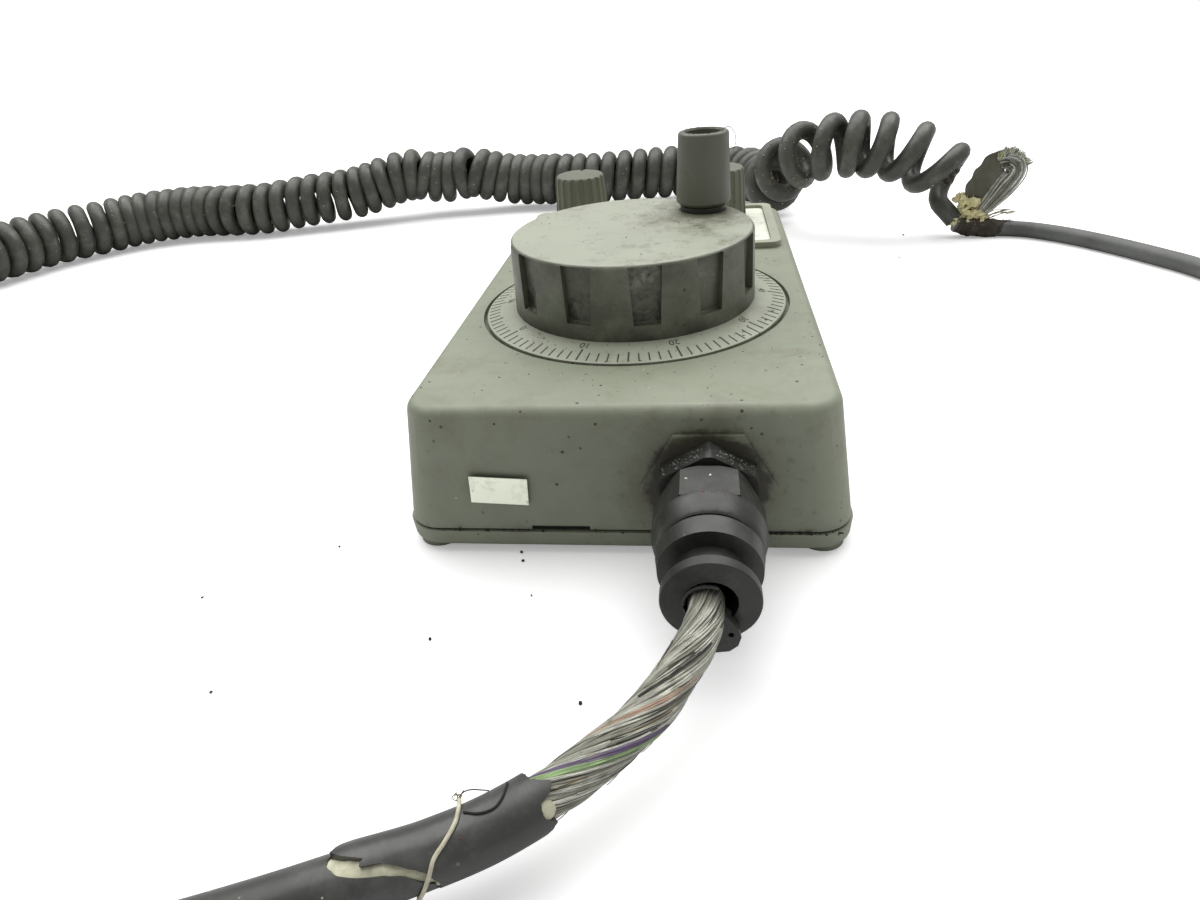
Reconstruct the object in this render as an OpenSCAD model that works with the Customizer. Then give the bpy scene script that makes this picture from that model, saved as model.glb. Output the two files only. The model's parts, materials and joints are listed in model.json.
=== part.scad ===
// Pulse generator handwheel: a hand-held box with a dialled handwheel, two selector knobs,
// a cable gland and a curly cable that ends in a round connector. Millimetres, +Z up,
// origin on the table under the middle of the housing, the gland side towards -Y.

/* [Housing] */
// Width of the upper cover at its lower edge
body_w = 99.2; // [94:0.2:106]
// How far each side wall leans in on its way to the top
side_flare = 3.6; // [2:0.1:5]
// Length of the housing
body_l = 155; // [153:1:168]
// Height of the flat top above the table
top_z = 36; // [34:0.5:40]
// Height of the line where the covers part
split_z = 6.2; // [5.8:0.1:6.8]
// Radius of the upright corners
corner_r = 8; // [7:0.5:10]
// Rounding of the top edge
edge_r = 2.6; // [2:0.1:4]
// Draft of the front and rear walls
side_draft = 0.6; // [0:0.1:1]
// Thickness of the side walls
wall = 2.6; // [2:0.1:3]
// Thickness of the top wall
top_wall = 4; // [3.6:0.1:5]
// How far the base stands out past the cover
base_step = 0.5; // [0.1:0.1:0.8]
// Thickness of the base plate
base_wall = 2.2; // [1.8:0.1:2.6]
// Height of the four moulded feet
foot_h = 1.3; // [1:0.1:2.2]
// Diameter of the feet
foot_d = 10; // [7:0.5:12]
// Thickness of the rubber gasket between the covers
gasket_h = 0.5; // [0.3:0.1:0.8]
// Diameter of the housing screws
case_screw_d = 3; // [2.5:0.5:3.5]
// Diameter of the heads of the housing screws
case_head_d = 5.6; // [5:0.1:6]
// Width of the prising slot in the front joint
slot_w = 13; // [8:1:16]
// Distance of that slot to the left of the middle
slot_x = 13.4; // [10:0.1:18]

/* [Dial and handwheel] */
// Distance between the dial's recess and the raised frame behind it
dial_back = 2; // [1:0.5:5]
// Diameter of the recess for the dial
recess_d = 80; // [78:0.5:84]
// Depth of that recess
recess_depth = 1.6; // [1.2:0.1:2]
// Width of the open groove round the dial
dial_gap = 1; // [0.6:0.1:1.5]
// Height of the dial's outer edge above the top
dial_edge_rise = 0.3; // [0.1:0.1:0.6]
// Height of the dial under the wheel above the top
dial_rise = 1.8; // [1.4:0.1:2.4]
// Diameter of the handwheel at its top
wheel_d = 61.3; // [59:0.1:63]
// How far the rim spreads from its top to its foot
wheel_draft = 0.5; // [0:0.1:1]
// Height of the handwheel's rim
wheel_h = 17.6; // [17:0.2:20]
// Rounding of the wheel's top edge
wheel_edge_r = 1.2; // [1:0.1:3]
// How much the wheel's top is domed
wheel_dome = 0.4; // [0.2:0.1:1]
// Thickness of the wheel's rim and top
wheel_wall = 3; // [2.8:0.1:3.6]
// Number of finger pockets round the rim
pocket_count = 12; // [8:1:16]
// Width of a finger pocket
pocket_w = 7.6; // [5:0.1:9]
// Depth of a finger pocket
pocket_depth = 1.6; // [1:0.1:2]
// Height of the sill under the pockets
pocket_sill = 3.7; // [3:0.1:5]
// Diameter of the wheel's hub
hub_d = 16; // [14:0.5:20]

/* [Crank grip] */
// Distance of the grip from the wheel axis
crank_r = 23.7; // [22.5:0.1:24]
// Bearing of the grip on the wheel, in degrees
crank_angle = 40; // [0:1:359]
// Height of the grip
grip_h = 17.7; // [15:0.1:22]
// Diameter of the grip at its foot
grip_foot_d = 14.2; // [12:0.1:14.6]
// Diameter of the grip at its top
grip_top_d = 12.9; // [11.6:0.1:14]
// Diameter of the open bore in the grip's top
grip_bore_d = 9.3; // [9:0.1:10]
// Depth of that open bore
grip_bore_h = 7; // [5:0.1:9]
// Diameter of the pin that the grip turns on
pin_d = 6; // [5:0.5:6.5]
// Diameter of the black neck ring
neck_d = 12; // [10:0.1:13]
// Height of the neck ring
neck_h = 1.4; // [1:0.1:3]

/* [Pulse generator] */
// Diameter of the pulse generator's can
can_d = 48; // [44:1:50]
// Width of the mounting flange round the can
flange_rim = 5; // [4.8:0.1:7]
// Height of the can
can_h = 15; // [13:0.5:16]
// Diameter of the main shaft
shaft_d = 6; // [5:0.5:7]
// Outer diameter of the ball bearing
bearing_d = 13; // [12:0.5:14]
// Width of the ball bearing
bearing_h = 5; // [4:0.5:5]
// Number of slots in the pulse disc
disc_slots = 50; // [20:1:60]

/* [Selector knobs] */
// Distance of each knob's axis from the side of the raised frame
knob_side = 18.3; // [16:0.1:21]
// Distance of the knobs from the rear face
knob_back = 18; // [17.5:0.1:22]
// Diameter of a knob at its foot
knob_foot_d = 18.6; // [17.5:0.1:20]
// Diameter of a knob at its top
knob_top_d = 16.8; // [15:0.1:18]
// Height of a knob
knob_h = 16.2; // [14:0.1:20]
// Number of flutes round a knob
flute_count = 18; // [12:1:30]
// Diameter of the cutter that makes the flutes
flute_d = 2.4; // [1.2:0.1:2.6]
// Diameter of the selector shafts
selector_shaft_d = 6; // [5:0.5:6]
// Diameter of the threaded bushings
bushing_d = 9; // [8.5:0.1:10]
// Diameter of the rotary switch bodies
switch_d = 26; // [22:0.5:28]
// Height of the rotary switch bodies
switch_h = 14; // [12:0.5:16]
// Across flats of the bushing nuts
bushing_nut_w = 12; // [11.5:0.1:13]

/* [Legend] */
// Distance of the raised frame round the selectors from the sides
bezel_side = 4; // [3.5:0.1:6]
// Length of the raised frame
bezel_l = 48; // [44:1:48]
// Height of the raised frame
bezel_h = 1.8; // [1:0.1:2.4]
// Width of the frame's rim
bezel_rim = 2.8; // [2:0.1:3.4]
// Corner radius of the frame
bezel_r = 3.5; // [3:0.1:5]
// Distance of the frame from the rear face
bezel_back = 5; // [4.6:0.1:6]
// Thickness of the legend plate
legend_h = 0.8; // [0.4:0.1:1]

/* [Cable gland] */
// Distance of the gland axis to the right of the middle
gland_x = 18.7; // [14:0.1:24]
// Depth of the gland axis below the top
gland_drop = 18; // [16:0.1:18.5]
// Across flats of the raised pad on the front face
pad_w = 24.4; // [23:0.1:24.8]
// Height of that pad
pad_h = 0.6; // [0.3:0.1:1]
// Diameter of the gland's thread
gland_thread_d = 16; // [15:0.1:16.5]
// Across flats of the gland body
gland_body_w = 19.5; // [18.5:0.1:20.5]
// Thickness of the gland body's hexagon
gland_body_h = 5.5; // [4:0.1:7]
// Across flats of the gland nut
gland_nut_w = 19; // [18.5:0.1:20]
// Length of the nut's hexagon
gland_nut_h = 9.6; // [8:0.1:12]
// Diameter of the nut's round collar
collar_d = 21.8; // [21:0.1:23]
// Length of that collar
collar_h = 5.6; // [4:0.1:7]
// Diameter of the boot's first ring
boot_ring_d = 19.8; // [18.6:0.1:20.6]
// Diameter of the boot's necks
boot_neck_d = 13; // [12:0.1:15]
// Diameter of the boot's tip ring
boot_tip_d = 17.4; // [16.5:0.1:18.5]
// Bore of the gland for the cable
boot_bore_d = 9.4; // [9.2:0.1:10]

/* [Cable] */
// Diameter of the lead at the gland
lead_d = 8.8; // [8:0.1:8.8]
// Diameter of the curly and straight cable
wire_d = 6.8; // [6:0.1:6.8]
// Outer diameter of the curly part
curl_d = 28.4; // [26:0.1:28.4]
// Mean diameter of the inner turns of the stored coil
coil_d = 68.4; // [64:0.1:72]

/* [Connector] */
// Diameter of the connector's rear flange
plug_flange_d = 25; // [24:0.1:25]
// Diameter of the coupling ring
plug_ring_d = 24; // [22:0.1:24]
// Length of the coupling ring
plug_ring_h = 14; // [10:0.1:18]
// Diameter of the connector's barrel
plug_barrel_d = 19; // [18:0.1:20]
// Diameter of the backshell
backshell_d = 18; // [16:0.1:19]
// Length of the backshell
backshell_h = 18; // [14:0.1:24]

/* [Hidden] */
$fn = 64;
hull_fn = 32;      // facets of the corners that hull() joins
cut = 1;           // how far a cutter runs past a face
run_gap = 0.05;    // radial clearance of a shaft in its bore
seat_gap = 0.3;    // clearance between curved or moving faces
fit_gap = 0.1;     // clearance of a piece in its pocket

// housing
body_y = pad_h / 2;
front_y = body_y - body_l / 2;
rear_y = body_y + body_l / 2;
cover_h = top_z - split_z;
ceiling_z = top_z - top_wall;
floor_z = foot_h + base_wall;
base_top_z = split_z - gasket_h;
base_edge_r = 1.4;
foot_in = 6.2;
foot_x = body_w / 2 - foot_in;
foot_y = body_l / 2 - foot_in;
top_w = body_w - 2 * side_flare;
screw_x = top_w / 2 - wall - 5;
screw_in = 25;
screw_y = body_l / 2 - wall - screw_in;
boss_d = case_screw_d + 4.5;
head_h = 1.8;
screw_hold = 8;
lip_h = 2.4;
lip_w = 1.4;
rib_w = 1.2;
rib_h = 6;

// legend and selectors
bezel_w = top_w - 2 * bezel_side;
bezel_y = rear_y - bezel_back - bezel_l / 2;
bezel_open_w = bezel_w - 2 * bezel_rim;
bezel_open_l = bezel_l - 2 * bezel_rim;
knob_x = bezel_w / 2 - knob_side;

// dial and wheel
wheel_y = bezel_y - bezel_l / 2 - dial_back - recess_d / 2;
recess_z = top_z - recess_depth;
dial_d = recess_d - 2 * dial_gap;
wheel_z = top_z + dial_rise;
wheel_top_z = wheel_z + wheel_h;
pocket_top = wheel_h - wheel_edge_r + 0.7;
set_screw_d = 3;
set_screw_at = [100, 190];     // degrees
first_pocket = 10;              // degrees
set_screw_z = wheel_z + wheel_h / 2 - 1;
shaft_top_z = wheel_top_z - wheel_wall - 2;

// crank
crank_x = crank_r * cos(crank_angle);
crank_y = wheel_y + crank_r * sin(crank_angle);
crank_base_z = wheel_top_z;
grip_z = crank_base_z + neck_h + seat_gap;
pin_thread_d = pin_d - 1;
pin_hold = 8;
pin_head_h = 2.6;
pin_head_d = grip_bore_d - 2 * seat_gap - 0.3;
grip_ledge = grip_h - grip_bore_h;

// pulse generator
encoder_d = can_d + 2 * flange_rim;
flange_h = 3;
can_z = ceiling_z - flange_h - can_h;
can_wall = 2.5;
cavity_h = can_h - 3;
boss_neck_d = bearing_d + 5;
bearing_top_z = recess_z - 0.2;
cap_h = 1.5;
disc_z = can_z + 6;
disc_h = 0.8;
sensor_back = 1.2;
sensor_l = 6;
sensor_w = 7;
disc_d = can_d - 2 * can_wall - 2 * sensor_back - 2.2;
generator_screw_r = encoder_d / 2 - 2;
generator_screw_d = 2.5;

// knobs and switches
knob_y = rear_y - knob_back;
legend_top_z = top_z + legend_h;
bushing_nut_h = 2;
bushing_top_z = legend_top_z + bushing_nut_h + 0.4;
knob_z = legend_top_z + 0.6;
knob_recess_h = bushing_top_z - knob_z + 0.8;
knob_recess_d = bushing_nut_w * 1.155 + 1;
knob_edge_r = 1.4;
knob_arc = 80;     // degrees of the rounded top edge
selector_shaft_top = knob_z + knob_h - 3;
switch_z = ceiling_z - switch_h;
shaft_hold = 6;    // depth of the switch bottom under its shaft
flute_lean = atan((knob_foot_d - knob_top_d) / 2 / knob_h);

// circuit board
board_w = 66;
board_l = 42;
board_h = 1.6;
board_back = 9;
board_y = rear_y - wall - board_back - board_l / 2;
board_z = floor_z + 4;
post_d = 6;
board_screw_d = 2.5;
post_x = board_w / 2 - 4;
post_y = board_l / 2 - 4;
terminal_l = 30;
terminal_w = 8;
terminal_h = 6.5;

// gland
gland_z = top_z - gland_drop;
pad_y = front_y - pad_h;
nut_y = pad_y - gland_body_h - 1;
collar_y = nut_y - gland_nut_h;
boot_y = collar_y - collar_h;
ring_h = 4.3;
neck_h1 = 0.7;
neck_h2 = 5.1;
tip_h = 2.4;
tip_edge_r = 0.3;
boot_tip_y = boot_y - neck_h1 - ring_h - neck_h2 - tip_h;
sleeve_d = boot_neck_d - 1.6;
nut_thread_h = gland_nut_h - 2.4;
sleeve_l = collar_h + gland_nut_h - nut_thread_h - 0.3;
locknut_h = 3.4;
locknut_w = gland_thread_d + 5.5;
thread_in = wall + side_draft + locknut_h + 2;

// routes of the cable, chosen by hand: [x, y, z] of its middle
lead_route = [[18.7, -110, 18], [18.4, -115, 17.4], [16.6, -119, 15.8], [13.8, -123.5, 14.2],
    [10.4, -128.5, 12.9], [6.6, -133, 11.9], [2, -137.6, 11.1], [-4, -143, 10.5], [-12, -148.8, 10.1],
    [-20, -152.8, 9.6], [-30, -157, 8.8], [-42, -161.5, 7.9], [-56, -166, 6.8], [-72, -170, 5.6],
    [-88, -172, 4.7], [-105, -171, 4.4], [-126, -163, 4.4], [-150, -145, 4.4], [-175, -121, 4.4],
    [-200, -95, 4.4], [-225, -67, 4.4], [-250, -38, 4.4], [-275, -8, 4.4], [-298, 20, 4.2],
    [-320, 46, 4], [-338, 68, 3.7], [-350, 92, 3.5]];
curl_route = [[-352, 95, 14.2], [-346, 122, 14.2], [-336, 150, 14.2], [-320, 176, 14.2], [-298, 197, 14.2],
    [-270, 206, 14.2], [-240, 207, 14.2], [-212, 213, 14.6], [-188, 218.5, 15.6], [-171, 224.5, 18.4],
    [-159, 229.5, 22], [-148, 233.5, 23], [-137, 236.5, 20.3], [-126, 238, 19.3], [-115.4, 239, 20.7],
    [-104, 240.3, 17.8], [-92, 241.5, 15.1], [-80, 241.5, 14.2], [-58, 239, 14.2],
    [-28, 242, 14.2], [0, 245, 14.2], [25, 243, 14.2], [43, 234.5, 14.2], [52, 219, 14.6],
    [54.5, 203, 15.8], [53.9, 189, 18.4], [53.6, 178.5, 23.4], [57.2, 169.4, 30.3], [65.2, 162.4, 37],
    [76.6, 156.5, 40.2], [87.3, 154, 41], [101, 153.5, 39], [112, 153, 35], [122, 152, 28.8],
    [131, 150.5, 21.5], [138, 149, 14.5]];
tail_route = [[131, 149, 6], [136, 148.8, 4.8], [141.5, 148.4, 3.9], [147, 147.8, 3.4],
    [153, 146.6, 3.4], [160, 144, 3.4],
    [166, 139.5, 3.4], [173.5, 132, 3.4], [181, 122, 3.4], [188, 111, 3.4], [194, 100, 3.4],
    [199, 90, 3.4], [203, 76, 3.4], [204.5, 60, 3.4], [204, 46, 3.4], [203, 36, 3.4]];
coil_at = [240, 10, 0];
plug_x = 198.8;
plug_lead_route = [[198.8, -4, 10.2], [198.8, -13, 10.8], [198.8, -22, 12.1], [198.8, -29, 12.5],
    [198.8, -36, 12.5]];
coil_layers = 2;
turn_step = wire_d + 0.1;
tie_w = 4;
tie_h = 1;

// connector, along -Y from where the cable enters
plug_z = plug_flange_d / 2;
plug_boot_y = -30;
plug_boot_h = 16;
backshell_y = plug_boot_y - plug_boot_h;
shell_y = backshell_y - backshell_h;
shell_flange_h = 3;
ring_y = shell_y - shell_flange_h - seat_gap;
barrel_h = plug_ring_h + 4;
plug_wall = 1.6;
insert_h = 8;
pin_count = 8;

cover_color = [0.44, 0.45, 0.40];
wheel_color = [0.42, 0.43, 0.38];
black = [0.09, 0.09, 0.10];
steel = [0.72, 0.73, 0.74];
brass = [0.75, 0.62, 0.32];

// points of a quarter round, from angle a to b about [x, y]
function arc(x, y, r, a, b, n = 8) =
    [for (i = [0:n]) let (t = a + (b - a) * i / n) [x + r * cos(t), y + r * sin(t)]];
function unit(v) = v / norm(v);

// a flat plate with rounded corners, all its faces true
module plate(w, l, r, h) {
    linear_extrude(h) {
        square([w - 2 * r, l], center = true);
        square([w, l - 2 * r], center = true);
        for (x = [-1, 1], y = [-1, 1]) translate([x * (w / 2 - r), y * (l / 2 - r)]) circle(r);
    }
}

// a box whose corners follow a turned profile
module cornered(w, l, r, profile) {
    hull() for (x = [-1, 1], y = [-1, 1])
        translate([x * (w / 2 - r), y * (l / 2 - r), 0]) rotate_extrude($fn = hull_fn) polygon(profile);
}

module hexagon(w, h) {
    cylinder(d = w * 2 / sqrt(3), h = h, $fn = 6);
}

// puts a piece that is drawn along +Z on the gland axis, running to -Y from y
module on_gland(y) {
    translate([gland_x, y, gland_z]) rotate([90, 0, 0]) children();
}

module at_corners(x, y) {
    for (i = [-1, 1], j = [-1, 1]) translate([i * x, body_y + j * y, 0]) children();
}

module at_generator_screws(z) {
    for (a = [90:120:330])
        translate([0, wheel_y, z]) rotate([0, 0, a]) translate([generator_screw_r, 0, 0]) children();
}

module upper_cover() {
    outline = concat([[0, 0], [corner_r, 0]],
        arc(corner_r - side_draft - edge_r, cover_h - edge_r, edge_r, 0, 90), [[0, cover_h]]);
    inner_l = body_l - 2 * wall - side_draft;
    color(cover_color) difference() {
        union() {
            translate([0, body_y, split_z]) hull() {
                plate(body_w, body_l, corner_r, 0.4);
                cornered(top_w, body_l, corner_r, outline);
            }
            on_gland(front_y + wall / 2) hexagon(pad_w, wall / 2 + pad_h);
        }
        difference() {
            translate([0, body_y, split_z - cut]) hull() {
                plate(body_w - 2 * wall - side_draft, inner_l, corner_r - wall, lip_h + 1);
                plate(top_w - 2 * wall - side_draft, inner_l, corner_r - wall, cover_h - top_wall + cut);
            }
            at_corners(screw_x, screw_y) translate([0, 0, split_z]) cylinder(d = boss_d, h = cover_h);
            translate([-rib_w / 2, front_y + wall, ceiling_z - rib_h])
                cube([rib_w, wheel_y - encoder_d / 2 - front_y - wall - 2, rib_h + cut]);
            for (x = [-1, 1]) translate([x * (knob_x + switch_d / 2 + 2) - rib_w / 2,
                bezel_y - bezel_l / 2, ceiling_z - rib_h]) cube([rib_w, bezel_l - 2, rib_h + cut]);
        }
        at_corners(screw_x, screw_y) translate([0, 0, split_z - cut])
            cylinder(d = case_screw_d, h = screw_hold + 3 + cut);
        translate([0, wheel_y, recess_z]) cylinder(d = recess_d, h = recess_depth + cut);
        translate([0, wheel_y, ceiling_z - cut])
            cylinder(d = boss_neck_d + 2 * seat_gap, h = top_wall + 2 * cut);
        at_generator_screws(ceiling_z - cut) cylinder(d = generator_screw_d, h = cut + 2);
        for (x = [-1, 1]) translate([x * knob_x, knob_y, ceiling_z - cut])
            cylinder(d = bushing_d + 2 * fit_gap, h = top_wall + 2 * cut);
        on_gland(front_y + wall + side_draft + cut)
            cylinder(d = gland_thread_d + 2 * fit_gap, h = wall + side_draft + pad_h + 2 * cut);
        translate([gland_x - pad_w, pad_y - cut, 0]) cube([2 * pad_w, pad_h + wall / 2 + 2 * cut, split_z]);
        translate([-slot_x - slot_w / 2, front_y - cut, split_z - cut]) cube([slot_w, cut + 1, cut + 1]);
    }
}

module at_posts(z) {
    translate([0, board_y - body_y, z]) at_corners(post_x, post_y) children();
}

module base_cover() {
    low = base_top_z - foot_h;
    r = corner_r + base_step;
    outline = concat([[0, 0]], arc(r - base_edge_r - 0.2, base_edge_r, base_edge_r, -90, 0),
        [[r, low], [0, low]]);
    color(cover_color) difference() {
        union() {
            translate([0, body_y, foot_h])
                cornered(body_w + 2 * base_step, body_l + 2 * base_step, r, outline);
            at_corners(foot_x, foot_y) cylinder(d = foot_d, h = foot_h + 1);
            difference() {
                translate([0, body_y, foot_h + 1]) plate(body_w - 2 * wall - 2 * seat_gap - side_draft,
                    body_l - 2 * wall - 2 * seat_gap - side_draft, corner_r - wall - seat_gap,
                    base_top_z + lip_h - foot_h - 1);
                on_gland(front_y + thread_in + 2)
                    cylinder(d = locknut_w * 1.155 + 2, h = thread_in + 2);
                at_corners(screw_x, screw_y) cylinder(d = boss_d + 2 * seat_gap, h = top_z);
            }
        }
        difference() {
            translate([0, body_y, floor_z]) plate(body_w - 2 * (wall + lip_w + seat_gap) - side_draft,
                body_l - 2 * (wall + lip_w + seat_gap) - side_draft, corner_r - wall - lip_w, top_z);
            at_corners(screw_x, screw_y) cylinder(d = boss_d, h = base_top_z);
            at_posts(0) cylinder(d = post_d, h = board_z);
        }
        at_corners(screw_x, screw_y) {
            translate([0, 0, -cut]) cylinder(d = case_screw_d + 0.4, h = top_z);
            translate([0, 0, foot_h - cut]) cylinder(d = case_head_d + 0.4, h = head_h + cut);
        }
        at_posts(floor_z) cylinder(d = board_screw_d, h = board_z);
    }
}

module housing_gasket() {
    outer = 0.6;
    inner = wall + side_draft / 2 - 0.1;
    color(black) translate([0, body_y, base_top_z]) difference() {
        plate(body_w - 2 * outer, body_l - 2 * outer, corner_r - outer, gasket_h);
        translate([0, 0, -cut])
            plate(body_w - 2 * inner, body_l - 2 * inner, corner_r - inner, gasket_h + 2 * cut);
    }
}

module base_screws() {
    color(steel) at_corners(screw_x, screw_y) translate([0, 0, foot_h]) difference() {
        union() {
            translate([0, 0, 0.2]) cylinder(d = case_head_d, h = head_h - 0.2);
            cylinder(d = case_screw_d - 0.1, h = split_z - foot_h + screw_hold);
        }
        for (a = [0, 90]) rotate([0, 0, a]) translate([-1.6, -0.35, -cut]) cube([3.2, 0.7, cut + 1]);
    }
}

module legend_bezel() {
    color(cover_color) translate([0, bezel_y, top_z]) difference() {
        plate(bezel_w, bezel_l, bezel_r, bezel_h);
        translate([0, 0, -cut])
            plate(bezel_open_w, bezel_open_l, bezel_r - bezel_rim / 2, bezel_h + 2 * cut);
    }
}

module legend_plate() {
    color([0.86, 0.86, 0.82]) difference() {
        translate([0, bezel_y, top_z]) plate(bezel_open_w - 2 * fit_gap, bezel_open_l - 2 * fit_gap,
            bezel_r - bezel_rim / 2 - fit_gap, legend_h);
        for (x = [-1, 1]) translate([x * knob_x, knob_y, top_z - cut])
            cylinder(d = bushing_d + 2 * fit_gap, h = legend_h + 2 * cut);
    }
}

module pulse_generator_body() {
    color([0.25, 0.25, 0.27]) translate([0, wheel_y, 0]) difference() {
        union() {
            translate([0, 0, ceiling_z - flange_h]) cylinder(d = encoder_d, h = flange_h);
            translate([0, 0, can_z]) cylinder(d = can_d, h = can_h + cut);
            translate([0, 0, ceiling_z - cut]) cylinder(d = boss_neck_d, h = bearing_top_z - ceiling_z + cut);
        }
        translate([0, 0, can_z - cut]) cylinder(d = can_d - 2 * can_wall, h = cavity_h + cut);
        translate([0, 0, can_z]) cylinder(d = shaft_d + 1.5, h = top_z);
        translate([0, 0, bearing_top_z - bearing_h]) cylinder(d = bearing_d, h = bearing_h + cut);
        translate([0, -wheel_y, 0]) at_generator_screws(ceiling_z - flange_h - cut)
            cylinder(d = generator_screw_d + 0.3, h = flange_h + 2 * cut);
    }
}

module pulse_generator_cap() {
    color([0.3, 0.3, 0.32]) translate([0, wheel_y, can_z - cap_h]) cylinder(d = can_d - 0.4, h = cap_h);
}

module generator_screws() {
    head = 1.6;
    color(steel) at_generator_screws(ceiling_z - flange_h - head) {
        cylinder(d = generator_screw_d + 1.8, h = head);
        cylinder(d = generator_screw_d - 0.1, h = flange_h + 2 * head);
    }
}

module shaft_bearing() {
    color(steel) translate([0, wheel_y, bearing_top_z - bearing_h]) difference() {
        cylinder(d = bearing_d - 2 * run_gap, h = bearing_h);
        translate([0, 0, -cut]) cylinder(d = shaft_d + 2 * run_gap, h = bearing_h + 2 * cut);
        for (z = [-cut, bearing_h - 0.4]) translate([0, 0, z]) difference() {
            cylinder(d = bearing_d - 2.4, h = cut + 0.4);
            translate([0, 0, -cut]) cylinder(d = shaft_d + 2.4, h = 3 * cut + 0.4);
        }
    }
}

module main_shaft() {
    color(steel) translate([0, wheel_y, disc_z - 2]) {
        cylinder(d = shaft_d, h = shaft_top_z - disc_z + 2);
        cylinder(d = shaft_d + 4, h = 2);
    }
}

module pulse_disc() {
    slot_len = 2.4;
    color([0.55, 0.56, 0.58]) translate([0, wheel_y, disc_z]) difference() {
        cylinder(d = disc_d, h = disc_h);
        translate([0, 0, -cut]) cylinder(d = shaft_d + 2 * run_gap, h = disc_h + 2 * cut);
        for (i = [1:disc_slots]) rotate([0, 0, 360 / disc_slots * i])
            translate([disc_d / 2 - slot_len - 1, -0.45, -cut]) cube([slot_len, 0.9, disc_h + 2 * cut]);
    }
}

// a light gate that straddles the disc's rim and stands on the can's cap
module pulse_sensor() {
    gate = disc_h + 1.6;
    outer = disc_d / 2 + 0.6 + sensor_back;
    color(black) translate([-outer, wheel_y - sensor_w / 2, can_z]) difference() {
        cube([sensor_l, sensor_w, disc_z + disc_h + 3 - can_z]);
        translate([sensor_back, -cut, disc_z - can_z - 0.8]) cube([sensor_l, sensor_w + 2 * cut, gate]);
    }
}

module dial_disc() {
    under = recess_z + seat_gap;
    color([0.62, 0.63, 0.58]) translate([0, wheel_y, 0]) rotate_extrude($fn = 128) polygon([
        [shaft_d / 2 + 0.3, under + 0.6], [hub_d / 2 + 2, under + 0.6], [hub_d / 2 + 2.6, under],
        [dial_d / 2 - 0.3, under], [dial_d / 2, under + 0.3], [dial_d / 2, top_z + dial_edge_rise - 0.2],
        [dial_d / 2 - 0.2, top_z + dial_edge_rise], [wheel_d / 2 + wheel_draft + 0.3, top_z + dial_rise],
        [shaft_d / 2 + 0.3, top_z + dial_rise]]);
}

// a finger pocket: narrower at the sill than at the top, straight back wall
module pocket() {
    rotate([90, 0, 90]) linear_extrude(pocket_depth + wheel_draft + cut)
        polygon([[-pocket_w / 2 + 0.7, pocket_sill], [pocket_w / 2 - 0.7, pocket_sill],
            [pocket_w / 2, pocket_top], [-pocket_w / 2, pocket_top]]);
}

module handwheel() {
    r = wheel_d / 2;
    inner_h = wheel_h - wheel_wall;
    crank_at = [crank_x, crank_y - wheel_y, 0];
    skin = concat([[0, 0], [r + wheel_draft, 0]],
        arc(r - wheel_edge_r, wheel_h - wheel_edge_r, wheel_edge_r, 0, 90),
        [[r / 2, wheel_h + wheel_dome * 0.75], [0, wheel_h + wheel_dome]]);
    color(wheel_color) translate([0, wheel_y, wheel_z]) difference() {
        rotate_extrude($fn = 128) polygon(skin);
        difference() {
            translate([0, 0, -cut]) cylinder(d = wheel_d - 2 * wheel_wall, h = inner_h + cut);
            cylinder(d = hub_d, h = wheel_h);
            translate(crank_at + [0, 0, inner_h - pin_hold + 2]) cylinder(d = pin_d + 4, h = wheel_h);
            for (a = [0:60:300]) rotate([0, 0, a + crank_angle - 15]) translate([0, -rib_w / 2, 2])
                cube([r - 1, rib_w, wheel_h]);
        }
        for (i = [1:pocket_count]) rotate([0, 0, first_pocket + 360 / pocket_count * i])
            translate([r - pocket_depth, 0, 0]) pocket();
        translate([0, 0, -cut]) cylinder(d = shaft_d + 2 * run_gap, h = shaft_top_z - wheel_z + cut + 0.4);
        translate(crank_at + [0, 0, wheel_h - pin_hold - 0.4])
            cylinder(d = pin_thread_d + 2 * run_gap, h = wheel_h);
        translate(crank_at + [0, 0, wheel_h]) cylinder(d = neck_d + 2 * seat_gap, h = wheel_h);
        for (a = set_screw_at) rotate([0, 0, a]) translate([0, 0, set_screw_z - wheel_z]) rotate([0, 90, 0])
            cylinder(d = set_screw_d + 2 * run_gap, h = wheel_d);
    }
}

module wheel_set_screws() {
    color(black) translate([0, wheel_y, set_screw_z]) for (a = set_screw_at) rotate([0, 0, a])
        translate([shaft_d / 2 + 0.1, 0, 0]) rotate([0, 90, 0]) difference() {
            cylinder(d = set_screw_d, h = 5);
            translate([0, 0, 3.4]) cylinder(d = 1.5, h = 3, $fn = 6);
        }
}

module crank_pin() {
    head_z = grip_z + grip_ledge + 0.2;
    color(steel) translate([crank_x, crank_y, 0]) difference() {
        union() {
            translate([0, 0, wheel_z + wheel_h - pin_hold]) cylinder(d = pin_thread_d, h = pin_hold + 1);
            translate([0, 0, crank_base_z]) cylinder(d = pin_d, h = head_z - crank_base_z + 1);
            translate([0, 0, head_z]) cylinder(d = pin_head_d, h = pin_head_h);
        }
        translate([0, 0, head_z + pin_head_h - 1.4]) cylinder(d = 4, h = 3, $fn = 6);
    }
}

module crank_neck() {
    color(black) translate([crank_x, crank_y, crank_base_z]) difference() {
        cylinder(d = neck_d, h = neck_h);
        translate([0, 0, -cut]) cylinder(d = pin_d + 2 * run_gap, h = neck_h + 2 * cut);
    }
}

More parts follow.
